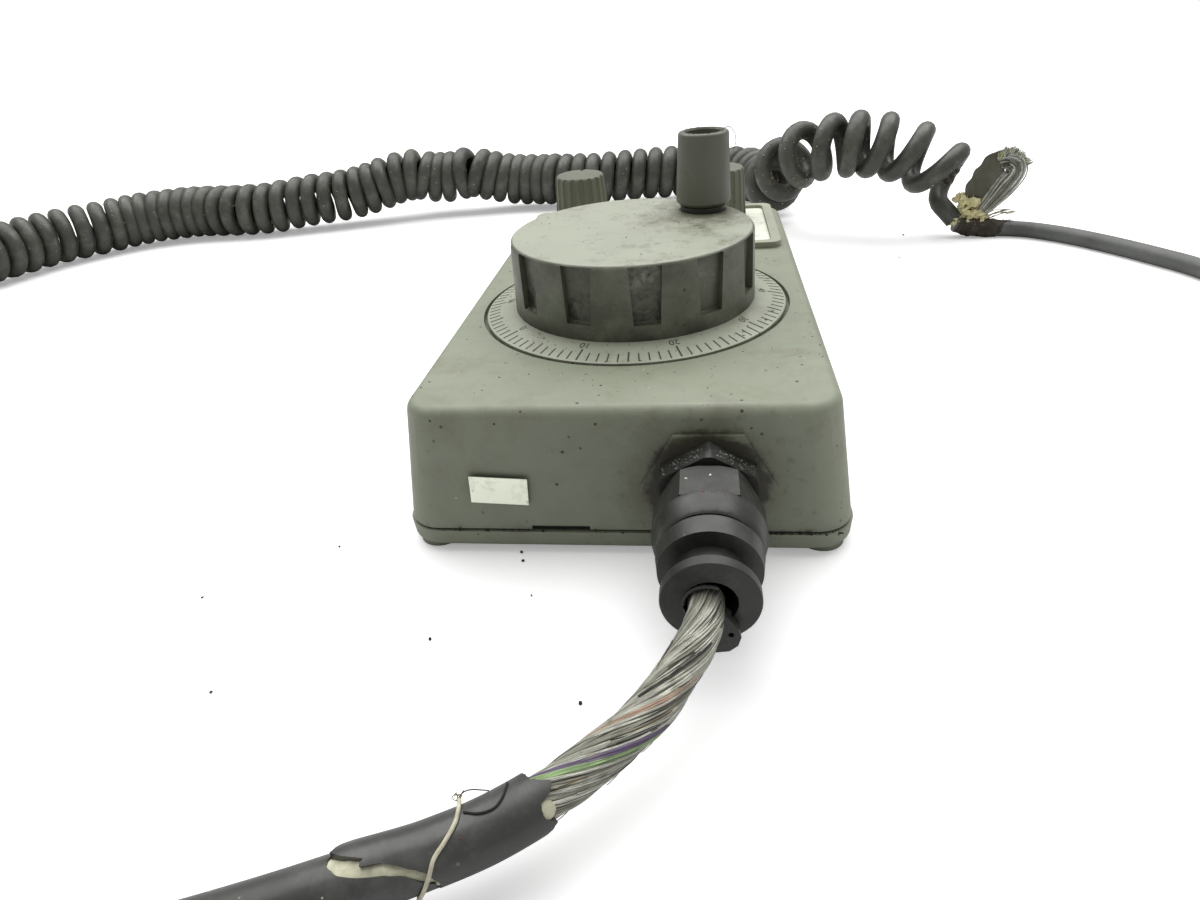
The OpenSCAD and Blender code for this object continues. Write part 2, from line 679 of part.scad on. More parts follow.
module crank_grip() {
    edge = 0.8;
    color(wheel_color) translate([crank_x, crank_y, grip_z]) rotate_extrude($fn = 96) polygon(concat(
        [[pin_d / 2 + run_gap, 0], [grip_foot_d / 2 - edge, 0], [grip_foot_d / 2, edge]],
        arc(grip_top_d / 2 - edge, grip_h - edge, edge, 0, 90, 4),
        [[grip_bore_d / 2 + 0.3, grip_h], [grip_bore_d / 2, grip_h - 0.4], [grip_bore_d / 2, grip_ledge],
            [pin_d / 2 + run_gap, grip_ledge]]));
}

module selector_knob(x) {
    r0 = knob_foot_d / 2;
    r1 = knob_top_d / 2;
    color(wheel_color) translate([x, knob_y, knob_z]) difference() {
        rotate_extrude() polygon(concat([[0, 0], [r0, 0], [r0, 0.8]],
            arc(r1 - knob_edge_r, knob_h - knob_edge_r, knob_edge_r, 0, knob_arc, 5),
            [[r1 / 2, knob_h + 0.25], [0, knob_h + 0.4]]));
        translate([0, 0, -cut]) cylinder(d = knob_recess_d, h = knob_recess_h + cut);
        cylinder(d = selector_shaft_d + 2 * run_gap, h = selector_shaft_top - knob_z + 0.3);
        for (i = [1:flute_count]) rotate([0, 0, 360 / flute_count * i]) translate([r0 + 0.5, 0, 1.2])
            rotate([0, -flute_lean, 0]) cylinder(d = flute_d, h = knob_h, $fn = 16);
        translate([-0.5, r1 - 4.5, knob_h - 0.5]) cube([1, 4, 2]);
    }
}

module axis_knob() {
    selector_knob(-knob_x);
}

module scale_knob() {
    selector_knob(knob_x);
}

module selector_shaft(x) {
    low = switch_z + shaft_hold;
    color(steel) translate([x, knob_y, low]) cylinder(d = selector_shaft_d, h = selector_shaft_top - low);
}

module axis_shaft() {
    selector_shaft(-knob_x);
}

module scale_shaft() {
    selector_shaft(knob_x);
}

module rotary_switch(x) {
    color([0.20, 0.22, 0.26]) translate([x, knob_y, 0]) difference() {
        union() {
            translate([0, 0, switch_z]) cylinder(d = switch_d, h = switch_h);
            translate([0, 0, ceiling_z - cut]) cylinder(d = bushing_d, h = bushing_top_z - ceiling_z + cut);
            for (a = [0:30:330]) rotate([0, 0, a]) translate([switch_d / 2 - 3, -0.5, switch_z - 3])
                cube([0.6, 1, 4]);
        }
        translate([0, 0, switch_z + shaft_hold - seat_gap])
            cylinder(d = selector_shaft_d + 2 * run_gap, h = top_z);
    }
}

module axis_switch() {
    rotary_switch(-knob_x);
}

module scale_switch() {
    rotary_switch(knob_x);
}

module bushing_nut(x) {
    color(steel) translate([x, knob_y, legend_top_z]) difference() {
        hexagon(bushing_nut_w, bushing_nut_h);
        translate([0, 0, -cut]) cylinder(d = bushing_d + 2 * run_gap, h = bushing_nut_h + 2 * cut);
    }
}

module axis_switch_nut() {
    bushing_nut(-knob_x);
}

module scale_switch_nut() {
    bushing_nut(knob_x);
}

module circuit_board() {
    color([0.10, 0.35, 0.20]) translate([-board_w / 2, board_y - board_l / 2, board_z]) difference() {
        cube([board_w, board_l, board_h]);
        for (x = [4, board_w - 4], y = [4, board_l - 4]) translate([x, y, -cut])
            cylinder(d = board_screw_d + 0.4, h = board_h + 2 * cut);
    }
}

module terminal_block() {
    ways = 6;
    color([0.15, 0.40, 0.30])
        translate([-terminal_l / 2, board_y - board_l / 2 + 1, board_z + board_h]) difference() {
        cube([terminal_l, terminal_w, terminal_h]);
        for (i = [0:ways - 1]) translate([(i + 0.5) * terminal_l / ways, terminal_w / 2, terminal_h - 2])
            cylinder(d = 3, h = 3);
    }
}

module board_screws() {
    hold = 3;
    color(steel) at_posts(board_z + board_h) {
        cylinder(d = board_screw_d + 1.9, h = 1.6);
        translate([0, 0, -board_h - hold]) cylinder(d = board_screw_d - 0.1, h = board_h + hold + 0.5);
    }
}

module gland_body() {
    color(black) on_gland(pad_y) difference() {
        union() {
            rotate([0, 0, 30]) intersection() {
                hexagon(gland_body_w, gland_body_h);
                cylinder(d1 = gland_body_w * 1.155, d2 = gland_body_w * 1.155 - 1, h = gland_body_h);
            }
            translate([0, 0, -thread_in - pad_h]) cylinder(d = gland_thread_d, h = thread_in + pad_h + 1);
            cylinder(d = gland_thread_d - 1, h = gland_body_h + 1 + nut_thread_h - 0.5);
        }
        translate([0, 0, -thread_in - pad_h - cut])
            cylinder(d = boot_bore_d + 0.4, h = thread_in + gland_body_h + gland_nut_h + 3);
    }
}

module gland_locknut() {
    color(black) on_gland(front_y + wall + side_draft / 2 + locknut_h) difference() {
        hexagon(locknut_w, locknut_h);
        translate([0, 0, -cut]) cylinder(d = gland_thread_d + 2 * fit_gap, h = locknut_h + 2 * cut);
    }
}

module gland_nut() {
    cone_h = 1.6;
    total = gland_nut_h + collar_h;
    color(black) on_gland(nut_y) difference() {
        union() {
            intersection() {
                hexagon(gland_nut_w, gland_nut_h);
                rotate_extrude() polygon([[0, 0], [gland_nut_w / 2 + 0.2, 0], [collar_d / 2 + 0.1, 1.4],
                    [collar_d / 2 + 0.1, gland_nut_h], [0, gland_nut_h]]);
            }
            translate([0, 0, gland_nut_h - cone_h]) rotate_extrude() polygon([[0, 0],
                [gland_nut_w / 2 - 0.3, 0], [collar_d / 2, cone_h + 0.4], [collar_d / 2, cone_h + 1.4],
                [collar_d / 2 - 0.9, cone_h + collar_h - 0.5], [collar_d / 2 - 1.4, cone_h + collar_h],
                [0, cone_h + collar_h]]);
        }
        translate([0, 0, -cut]) cylinder(d = gland_thread_d - 1 + 2 * fit_gap, h = nut_thread_h + cut);
        cylinder(d = sleeve_d + 2 * fit_gap, h = total + cut);
    }
}

module strain_boot() {
    r_tip = boot_tip_d / 2;
    y1 = neck_h1;
    y2 = y1 + ring_h;
    y3 = y2 + neck_h2;
    y4 = y3 + tip_h;
    color(black) on_gland(boot_y) rotate_extrude() polygon(concat(
        [[boot_bore_d / 2, -sleeve_l], [sleeve_d / 2, -sleeve_l], [sleeve_d / 2, 0],
            [boot_neck_d / 2 + 1.2, 0], [boot_neck_d / 2 + 1.2, y1], [boot_ring_d / 2, y1 + 0.3],
            [boot_ring_d / 2 - 0.5, y2], [boot_neck_d / 2, y2 + 0.4], [boot_neck_d / 2, y3 - 0.4],
            [r_tip - 0.2, y3], [r_tip, y3 + 0.2]],
        arc(r_tip - tip_edge_r, y4 - tip_edge_r, tip_edge_r, 0, 90, 3), [[boot_bore_d / 2, y4]]));
}

// a tube of sides around a route; radii has one radius for each point
module tube(route, radii, sides) {
    n = len(route);
    way = [for (i = [0:n - 1]) unit(route[min(i + 1, n - 1)] - route[max(i - 1, 0)])];
    ring = [for (i = [0:n - 1]) let (s = unit(cross([0, 0, 1], way[i])), t = cross(way[i], s))
        [for (k = [0:sides - 1]) let (a = 360 * k / sides) route[i] + radii[i] * (cos(a) * s + sin(a) * t)]];
    polyhedron(points = [for (r = ring, p = r) p], convexity = 8, faces = concat(
        [[for (k = [0:sides - 1]) k]],
        [for (i = [0:n - 2], k = [0:sides - 1])
            [i * sides + k, (i + 1) * sides + k, i * sides + (k + 1) % sides]],
        [for (i = [0:n - 2], k = [0:sides - 1])
            [(i + 1) * sides + k, (i + 1) * sides + (k + 1) % sides, i * sides + (k + 1) % sides]],
        [[for (k = [0:sides - 1]) n * sides - 1 - k]]));
}

module lead_cord() {
    n = len(lead_route);
    taper = (lead_d - wire_d) / 2;
    radii = [for (i = [0:n - 1]) lead_d / 2 - taper * max(0, i - n + 6) / 6];
    color(black) tube(lead_route, radii, 10);
}

module curly_cord() {
    color(black) tube(curl_route, [for (p = curl_route) curl_d / 2], 12);
}

module tail_cord() {
    color(black) tube(tail_route, [for (p = tail_route) wire_d / 2], 8);
}

module plug_lead() {
    color(black) tube(plug_lead_route, [for (p = plug_lead_route) wire_d / 2], 8);
}

// four turns, two beside each other in two layers
module tail_coil() {
    inner = coil_d / 2 - wire_d / 2;
    outer = coil_d / 2 + turn_step + wire_d / 2;
    h = coil_layers * turn_step;
    round_r = wire_d / 2 - 0.6;
    color(black) translate(coil_at) rotate_extrude() polygon(concat(
        arc(inner + round_r, round_r, round_r, 180, 270, 3),
        arc(outer - round_r, round_r, round_r, 270, 360, 3),
        arc(outer - round_r, h - round_r, round_r, 0, 90, 3),
        arc(inner + round_r, h - round_r, round_r, 90, 180, 3)));
}

// a strap round the bundle of turns, lying across the ring's far side
module coil_tie() {
    band = 2 * turn_step + 2 * tie_h + 2 * seat_gap;
    tall = coil_layers * turn_step + tie_h + seat_gap;
    color([0.85, 0.85, 0.82]) translate(coil_at + [coil_d / 2 + turn_step / 2, 0, 0]) difference() {
        translate([-band / 2, -tie_w / 2, 0]) cube([band, tie_w, tall]);
        translate([-band / 2 + tie_h, -tie_w / 2 - cut, -cut])
            cube([band - 2 * tie_h, tie_w + 2 * cut, tall + cut - tie_h]);
    }
}

module on_plug(y) {
    translate([plug_x, y, plug_z]) rotate([90, 0, 0]) children();
}

module plug_boot() {
    r = wire_d / 2;
    color(black) on_plug(plug_boot_y) rotate_extrude() polygon([[r + seat_gap, 0], [r + 1.6, 0],
        [r + 3.6, plug_boot_h - 3], [backshell_d / 2 - 1, plug_boot_h], [r + seat_gap, plug_boot_h]]);
}

module plug_backshell() {
    r = backshell_d / 2;
    color(steel) on_plug(backshell_y) rotate_extrude() polygon([[r - plug_wall - 2, 0], [r - 1, 0], [r, 1],
        [r, backshell_h * 0.4], [r + 1, backshell_h * 0.5], [r + 1, backshell_h],
        [r - plug_wall, backshell_h], [r - plug_wall, 2], [r - plug_wall - 2, 2]]);
}

module plug_shell() {
    color(steel) on_plug(shell_y) difference() {
        union() {
            cylinder(d = plug_flange_d, h = shell_flange_h);
            cylinder(d = plug_barrel_d, h = shell_flange_h + barrel_h);
        }
        translate([0, 0, insert_h]) cylinder(d = plug_barrel_d - 2 * plug_wall, h = barrel_h);
    }
}

module plug_ring() {
    grooves = 24;
    color([0.6, 0.61, 0.62]) on_plug(ring_y) difference() {
        cylinder(d = plug_ring_d, h = plug_ring_h);
        translate([0, 0, -cut]) cylinder(d = plug_barrel_d + 2 * run_gap, h = plug_ring_h + 2 * cut);
        for (i = [1:grooves]) rotate([0, 0, 360 / grooves * i]) translate([plug_ring_d / 2 + 0.3, 0, 2])
            cylinder(d = 1.4, h = plug_ring_h - 4, $fn = 16);
    }
}

module plug_insert() {
    r = plug_barrel_d / 2 - plug_wall - fit_gap;
    color([0.25, 0.25, 0.25]) on_plug(shell_y - insert_h) cylinder(r = r, h = 2);
    color(brass) on_plug(shell_y - insert_h - 2) for (i = [1:pin_count]) rotate([0, 0, 360 / pin_count * i])
        translate([r * 0.62, 0, 0]) cylinder(d = 1.2, h = barrel_h - insert_h - 1);
}

upper_cover();
base_cover();
housing_gasket();
base_screws();
legend_bezel();
legend_plate();
pulse_generator_body();
pulse_generator_cap();
generator_screws();
shaft_bearing();
main_shaft();
pulse_disc();
pulse_sensor();
dial_disc();
handwheel();
wheel_set_screws();
crank_pin();
crank_neck();
crank_grip();
axis_knob();
scale_knob();
axis_shaft();
scale_shaft();
axis_switch();
scale_switch();
axis_switch_nut();
scale_switch_nut();
circuit_board();
terminal_block();
board_screws();
gland_body();
gland_locknut();
gland_nut();
strain_boot();
lead_cord();
curly_cord();
tail_cord();
tail_coil();
coil_tie();
plug_lead();
plug_boot();
plug_backshell();
plug_shell();
plug_ring();
plug_insert();
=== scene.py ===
"""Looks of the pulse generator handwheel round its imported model: materials, small pieces, cords and light.

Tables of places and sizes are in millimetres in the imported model's frame; blender objects are in metres.
"""
import json
import math
import random

import bmesh
import bpy
import numpy as np
from mathutils import Matrix, Vector


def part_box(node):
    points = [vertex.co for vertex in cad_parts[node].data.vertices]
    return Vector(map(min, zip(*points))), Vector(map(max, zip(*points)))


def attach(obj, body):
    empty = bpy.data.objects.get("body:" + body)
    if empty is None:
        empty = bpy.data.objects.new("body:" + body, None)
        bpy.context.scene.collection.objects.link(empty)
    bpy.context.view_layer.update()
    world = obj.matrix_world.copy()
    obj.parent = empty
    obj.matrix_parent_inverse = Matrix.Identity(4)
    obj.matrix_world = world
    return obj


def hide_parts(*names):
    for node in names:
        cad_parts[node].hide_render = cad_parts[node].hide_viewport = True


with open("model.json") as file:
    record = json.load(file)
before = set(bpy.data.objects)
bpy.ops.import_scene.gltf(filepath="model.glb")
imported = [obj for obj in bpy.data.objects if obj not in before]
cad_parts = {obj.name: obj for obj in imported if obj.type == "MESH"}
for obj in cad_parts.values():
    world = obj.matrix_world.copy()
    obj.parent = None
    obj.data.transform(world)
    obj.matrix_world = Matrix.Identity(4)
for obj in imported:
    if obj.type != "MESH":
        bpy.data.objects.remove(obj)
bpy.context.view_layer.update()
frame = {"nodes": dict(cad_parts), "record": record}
nodes = frame["nodes"]
MM = 0.001


def box_mm(node):
    """Lowest and highest corner of a CAD node, in millimetres."""
    low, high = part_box(node)
    return np.array(low) / MM, np.array(high) / MM


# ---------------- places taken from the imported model
cover_low, _ = box_mm("upper_cover")
dial_low, dial_high = box_mm("dial_disc")
wheel_low, wheel_high = box_mm("handwheel")
grip_low, grip_high = box_mm("crank_grip")
boot_low, boot_high = box_mm("strain_boot")
nut_low, nut_high = box_mm("gland_nut")
hex_low, hex_high = box_mm("gland_body")
top_z = box_mm("legend_plate")[0][2]
crank_at, wheel_at = (grip_low + grip_high) / 2, (wheel_low + wheel_high) / 2
wheel_r, dial_r = (wheel_high[0] - wheel_low[0]) / 2, (dial_high[0] - dial_low[0]) / 2
gland_x, _, gland_z = (boot_low + boot_high) / 2

# ---------------- routes of the cable, as in the part's source
LEAD_ROUTE = [
    [18.7, -110, 18], [18.4, -115, 17.4], [16.6, -119, 15.8], [13.8, -123.5, 14.2], [10.4, -128.5, 12.9],
    [6.6, -133, 11.9], [2, -137.6, 11.1], [-4, -143, 10.5], [-12, -148.8, 10.1], [-20, -152.8, 9.6],
    [-30, -157, 8.8], [-42, -161.5, 7.9], [-56, -166, 6.8], [-72, -170, 5.6], [-88, -172, 4.7],
    [-105, -171, 4.4], [-126, -163, 4.4], [-150, -145, 4.4], [-175, -121, 4.4], [-200, -95, 4.4],
    [-225, -67, 4.4], [-250, -38, 4.4], [-275, -8, 4.4], [-298, 20, 4.2], [-320, 46, 4], [-338, 68, 3.7],
    [-350, 92, 3.5],
]
CURL_ROUTE = [
    [-352, 95, 14.2], [-346, 122, 14.2], [-336, 150, 14.2], [-320, 176, 14.2], [-298, 197, 14.2],
    [-270, 206, 14.2], [-240, 207, 14.2], [-212, 213, 14.6], [-188, 218.5, 15.6], [-171, 224.5, 18.4],
    [-159, 229.5, 22], [-148, 233.5, 23], [-137, 236.5, 20.3], [-126, 238, 19.3], [-115.4, 239, 20.7],
    [-104, 240.3, 17.8], [-92, 241.5, 15.1], [-80, 241.5, 14.2], [-58, 239, 14.2],
    [-28, 242, 14.2], [0, 245, 14.2], [25, 243, 14.2], [43, 234.5, 14.2], [52, 219, 14.6], [54.5, 203, 15.8],
    [53.9, 189, 18.4], [53.6, 178.5, 23.4], [57.2, 169.4, 30.3], [65.2, 162.4, 37], [76.6, 156.5, 40.2],
    [87.3, 154, 41], [101, 153.5, 39], [112, 153, 35], [122, 152, 28.8], [131, 150.5, 21.5], [138, 149, 14.5],
]
TAIL_ROUTE = [
    [131, 149, 6], [136, 148.8, 4.8], [141.5, 148.4, 3.9], [147, 147.8, 3.4], [153, 146.6, 3.4],
    [160, 144, 3.4], [166, 139.5, 3.4], [173.5, 132, 3.4], [181, 122, 3.4], [188, 111, 3.4], [194, 100, 3.4],
    [199, 90, 3.4], [203, 76, 3.4], [204.5, 60, 3.4], [204, 46, 3.4], [203, 36, 3.4],
]
PLUG_LEAD_ROUTE = [
    [198.8, -4, 10.2], [198.8, -13, 10.8], [198.8, -22, 12.1], [198.8, -29, 12.5], [198.8, -36, 12.5],
]
LEAD_D, CURLY_D, TAIL_D = 8.8, 8.0, 6.8
CURL_R = 10.2                      # mean radius of the curly part
COIL_AT = (240.0, 10.0)            # middle of the stored coil
COIL_R = (41.1, 34.2, 34.2, 41.1)  # mean radius of each of its turns
COIL_Z = (3.4, 3.4, 10.3, 10.3)    # height of each of its turns
# pitch of the curly part at distances along its route
CURL_PITCH = [
    (0, 9.3), (95, 9.0), (107, 7.4), (114, 7.2), (150, 7.2), (160, 8.6), (170, 8.9), (232, 8.9), (245, 7.9),
    (330, 7.9), (340, 7.2), (372, 7.2), (385, 8.9), (445, 8.9), (473, 9.2), (503, 11.5), (523, 15), (537, 13),
    (549.5, 12.5), (563, 14.2), (574.5, 9.0), (584.5, 11), (597, 14), (611.5, 15), (623, 18), (640, 18),
]
CURL_STARTS, CURL_STOPS = 26.0, 628.0  # distances at which the turns are under way, and at which they end
TURNS_EVENED = 480.0   # the number of turns is made whole over this distance
LIES_UNTIL = 470.0     # the curl sways a little from its route up to here, where it begins to climb
CURL_STEP, TAIL_STEP = 2.6, 2.4
CORD_SIDES = 14


def distances(line):
    """Distance along a line of points at each of them."""
    return np.r_[0, np.cumsum(np.linalg.norm(np.diff(line, axis=0), axis=1))]


def at_distances(want, along, line):
    """Points of a line at the wanted distances along it."""
    return np.stack([np.interp(want, along, line[:, k]) for k in range(3)], -1)


def unit(v):
    """A vector, or each row of several, made one long."""
    return v / np.linalg.norm(v, axis=-1, keepdims=True)


def smooth_route(points, step):
    """Points every step along a smooth curve through these points."""
    p = np.array(points, float)
    p = np.vstack([2 * p[0] - p[1], p, 2 * p[-1] - p[-2]])
    line = []
    for a, b, c, d in zip(p, p[1:], p[2:], p[3:]):
        t1 = np.linalg.norm(b - a) ** 0.5
        t2 = t1 + np.linalg.norm(c - b) ** 0.5
        t3 = t2 + np.linalg.norm(d - c) ** 0.5
        t = np.linspace(t1, t2, 24, endpoint=False)[:, None]
        ab = (t1 - t) / t1 * a + t / t1 * b
        bc = (t2 - t) / (t2 - t1) * b + (t - t1) / (t2 - t1) * c
        cd = (t3 - t) / (t3 - t2) * c + (t - t2) / (t3 - t2) * d
        abc = (t2 - t) / t2 * ab + t / t2 * bc
        bcd = (t3 - t) / (t3 - t1) * bc + (t - t1) / (t3 - t1) * cd
        line.append((t2 - t) / (t2 - t1) * abc + (t - t1) / (t2 - t1) * bcd)
    line = np.vstack([*line, p[-2:-1]])
    along = distances(line)
    return at_distances(np.linspace(0, along[-1], max(3, int(round(along[-1] / step)) + 1)), along, line)


def upright_frames(line):
    """Direction, upward normal and sideways normal at each point of a line that is nowhere upright."""
    way = unit(np.gradient(line, axis=0))
    up = unit(np.array([0, 0, 1.0]) - way * way[:, 2:3])
    return way, up, np.cross(way, up)


def carried_frames(line):
    """Direction and two normals at each point, carried along the line without twisting."""
    way = unit(np.gradient(line, axis=0))
    side = np.zeros_like(way)
    first = np.array([0, 0, 1.0]) if abs(way[0][2]) < 0.9 else np.array([1.0, 0, 0])
    side[0] = unit(first - way[0] * (first @ way[0]))
    for i in range(1, len(way)):
        side[i] = unit(side[i - 1] - way[i] * (side[i - 1] @ way[i]))
    return way, side, np.cross(way, side)


def helix(route):
    """The curly cable's centreline: left-handed turns round the route, from underside to underside."""
    line = smooth_route(route, 0.25)
    along = distances(line)
    rate = 1 / np.interp(along, *zip(*CURL_PITCH))
    rate *= np.clip(along / CURL_STARTS, 0, 1) ** 2
    rate *= np.clip((CURL_STOPS + 3 - along) / 6, 0, 1)
    turns = np.r_[0, np.cumsum((rate[1:] + rate[:-1]) / 2 * np.diff(along))]
    turns += (round(turns[-1]) - turns[-1]) * np.clip(along / TURNS_EVENED, 0, 1)
    way, up, side = upright_frames(line)
    angle = 2 * math.pi * turns[:, None]
    source = np.random.default_rng(5)

    def uneven(at, knots, low, high):
        """Values that wander between two limits from knot to knot."""
        return np.interp(at, knots, source.uniform(low, high, len(knots)))[:, None]

    sways = np.arange(0, along[-1] + 30, 24)
    calm = (np.clip((LIES_UNTIL - along) / 40, 0, 1) * np.clip(along / 40, 0, 1))[:, None]
    line = line + up * (calm * uneven(along, sways, 0, 1.7))
    line = line + side * (calm * uneven(along, sways, -1.3, 1.3))
    knots = np.arange(0, turns[-1] + 2, 0.5)
    shift, wide = uneven(turns, knots, -0.28, 0.28), CURL_R + uneven(turns, knots, -0.18, 0.0)
    wire = line - wide * (up * np.cos(angle) - side * np.sin(angle)) + shift * way
    along = distances(wire)
    return at_distances(np.linspace(0, along[-1], int(along[-1] / CURL_STEP)), along, wire)


def coil_turns():
    """The stored coil: out and in below, then in and out above, from its left point round to it again."""
    turn = np.arange(0, 4 * 60 + 1) / 60
    crossings = [0, 0.7, 0.95, 1.7, 1.95, 2.7, 2.95, 4]
    soft = np.hanning(15)
    soft /= soft.sum()

    def eased(each):
        """One value a turn, which moves softly to the next where the turns cross."""
        steps = np.interp(turn, crossings, np.repeat(each, 2))
        return np.convolve(np.pad(steps, len(soft) // 2, "edge"), soft, "valid")

    a, r = math.pi + 2 * math.pi * turn, eased(COIL_R)
    return np.stack([COIL_AT[0] + r * np.cos(a), COIL_AT[1] + r * np.sin(a), eased(COIL_Z)], 1)


def round_line(line, frames):
    """The distances along a line, and a function that gives points round it."""
    along = distances(line)

    def at(s, r, angle):
        """A point at a distance along the line, off it; angle 0 is above it and a quarter turn behind it."""
        base, up, side = (at_distances(s, along, f) for f in (line, *frames[1:]))
        return base + r * (math.cos(angle) * up + math.sin(angle) * side)

    return along, at


# ---------------- mesh tools
CABLE = ("root", "cable_jacket")  # body and material slot of the cable's pieces
BOX_FACES = [(3, 2, 1, 0), (4, 5, 6, 7), (0, 1, 5, 4), (1, 2, 6, 5), (2, 3, 7, 6), (3, 0, 4, 7)]


def wall(rows, sides, base=0, inward=False):
    """Faces between closed rows of corners, each with so many sides."""
    faces = []
    for i in range(rows):
        for j in range(sides):
            a, b = base + i * sides + j, base + i * sides + (j + 1) % sides
            faces.append((b, a, a + sides, b + sides) if inward else (a, b, b + sides, a + sides))
    return faces


def tube(line, radius, sides):
    """Corners, faces and texture places of a tube; radius is a number, or one a point."""
    n = len(line)
    _, a, b = carried_frames(line)
    k = (2 * math.pi * np.arange(sides) / sides)[None, :, None]
    r = np.broadcast_to(np.asarray(radius, float), n)[:, None, None]
    corners = line[:, None] + r * (np.cos(k) * a[:, None] + np.sin(k) * b[:, None])
    along = distances(line)
    places = []
    for x, y in zip(along, along[1:]):
        for j in range(sides):
            u, v = j / sides, (j + 1) / sides
            places.append(((u, x), (v, x), (v, y), (u, y)))
    places += [((0.5, 0.0),) * sides, ((0.5, along[-1]),) * sides]
    ends = [tuple(range(sides))[::-1], tuple((n - 1) * sides + j for j in range(sides))]
    return corners.reshape(-1, 3), wall(n - 1, sides) + ends, places


def show(name, mesh, body=None, slot=None):
    """An object with this mesh, which rides on a body, or on none; the slot is not used."""
    obj = bpy.data.objects.new(name, mesh)
    bpy.context.scene.collection.objects.link(obj)
    if body:
        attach(obj, body)
    return obj


def piece(name, parts, body, slot, smooth=True):
    """A mesh piece from (shape, material) pairs in millimetres, that rides on a body."""
    corners, faces, places, which, base = [], [], [], [], 0
    used = list(dict.fromkeys(material for _, material in parts))
    for (c, f, p), material in parts:
        corners.append(np.asarray(c, float))
        faces += [tuple(base + i for i in face) for face in f]
        places += p or [((0.0, 0.0),) * len(face) for face in f]
        which += [used.index(material)] * len(f)
        base += len(c)
    mesh = bpy.data.meshes.new(name)
    mesh.from_pydata((np.vstack(corners) * MM).tolist(), [], faces)
    layer = mesh.uv_layers.new(name="place")
    layer.data.foreach_set("uv", [x for face in places for pair in face for x in pair])
    for material in used:
        mesh.materials.append(material)
    mesh.polygons.foreach_set("material_index", which)
    if smooth:
        mesh.shade_smooth()
        mesh.set_sharp_from_angle(angle=math.radians(50))
    return show(name, mesh, body, slot)


def crumbs(name, places, sizes, material, body, slot, seed):
    """Small uneven lumps at places in millimetres."""
    source = random.Random(seed)
    bm = bmesh.new()
    for at, size in zip(places, sizes):
        made = bmesh.ops.create_icosphere(bm, subdivisions=1, radius=size * MM)["verts"]
        squeeze = Vector((source.uniform(0.6, 1.3), source.uniform(0.6, 1.3), source.uniform(0.4, 0.9)))
        turn = Matrix.Rotation(source.uniform(0, 6.28), 3, "Z")
        for v in made:
            v.co = turn @ Vector((v.co[k] * squeeze[k] * source.uniform(0.75, 1.2) for k in range(3)))
            v.co += Vector(at) * MM
    mesh = bpy.data.meshes.new(name)
    bm.to_mesh(mesh)
    bm.free()
    mesh.materials.append(material)
    return show(name, mesh, body, slot)


# ---------------- material tools
class Nodes:
    """A node tree. Numbers and colours go straight into sockets, node outputs are linked."""

    def __init__(self, tree):
        self.tree = tree

    def set(self, node, values):
        for key, value in values.items():
            if isinstance(value, bpy.types.NodeSocket):
                self.tree.links.new(value, node.inputs[key])
            elif isinstance(value, tuple) and node.inputs[key].type == "RGBA":
                node.inputs[key].default_value = (*value, 1)
            else:
                node.inputs[key].default_value = value

    def add(self, kind, values=None, **settings):
        node = self.tree.nodes.new(kind)
        for key, value in settings.items():
            setattr(node, key, value)
        self.set(node, values or {})
        return node

    def math(self, operation, a, b, clamp=False):
        return self.add("ShaderNodeMath", {0: a, 1: b}, operation=operation, use_clamp=clamp).outputs[0]

    def times(self, first, *others):
        for other in others:
            first = self.math("MULTIPLY", first, other)
        return first

    def span(self, value, low, high, to_low=0.0, to_high=1.0):
        node = self.add("ShaderNodeMapRange", {0: value, 1: low, 2: high, 3: to_low, 4: to_high})
        return node.outputs[0]


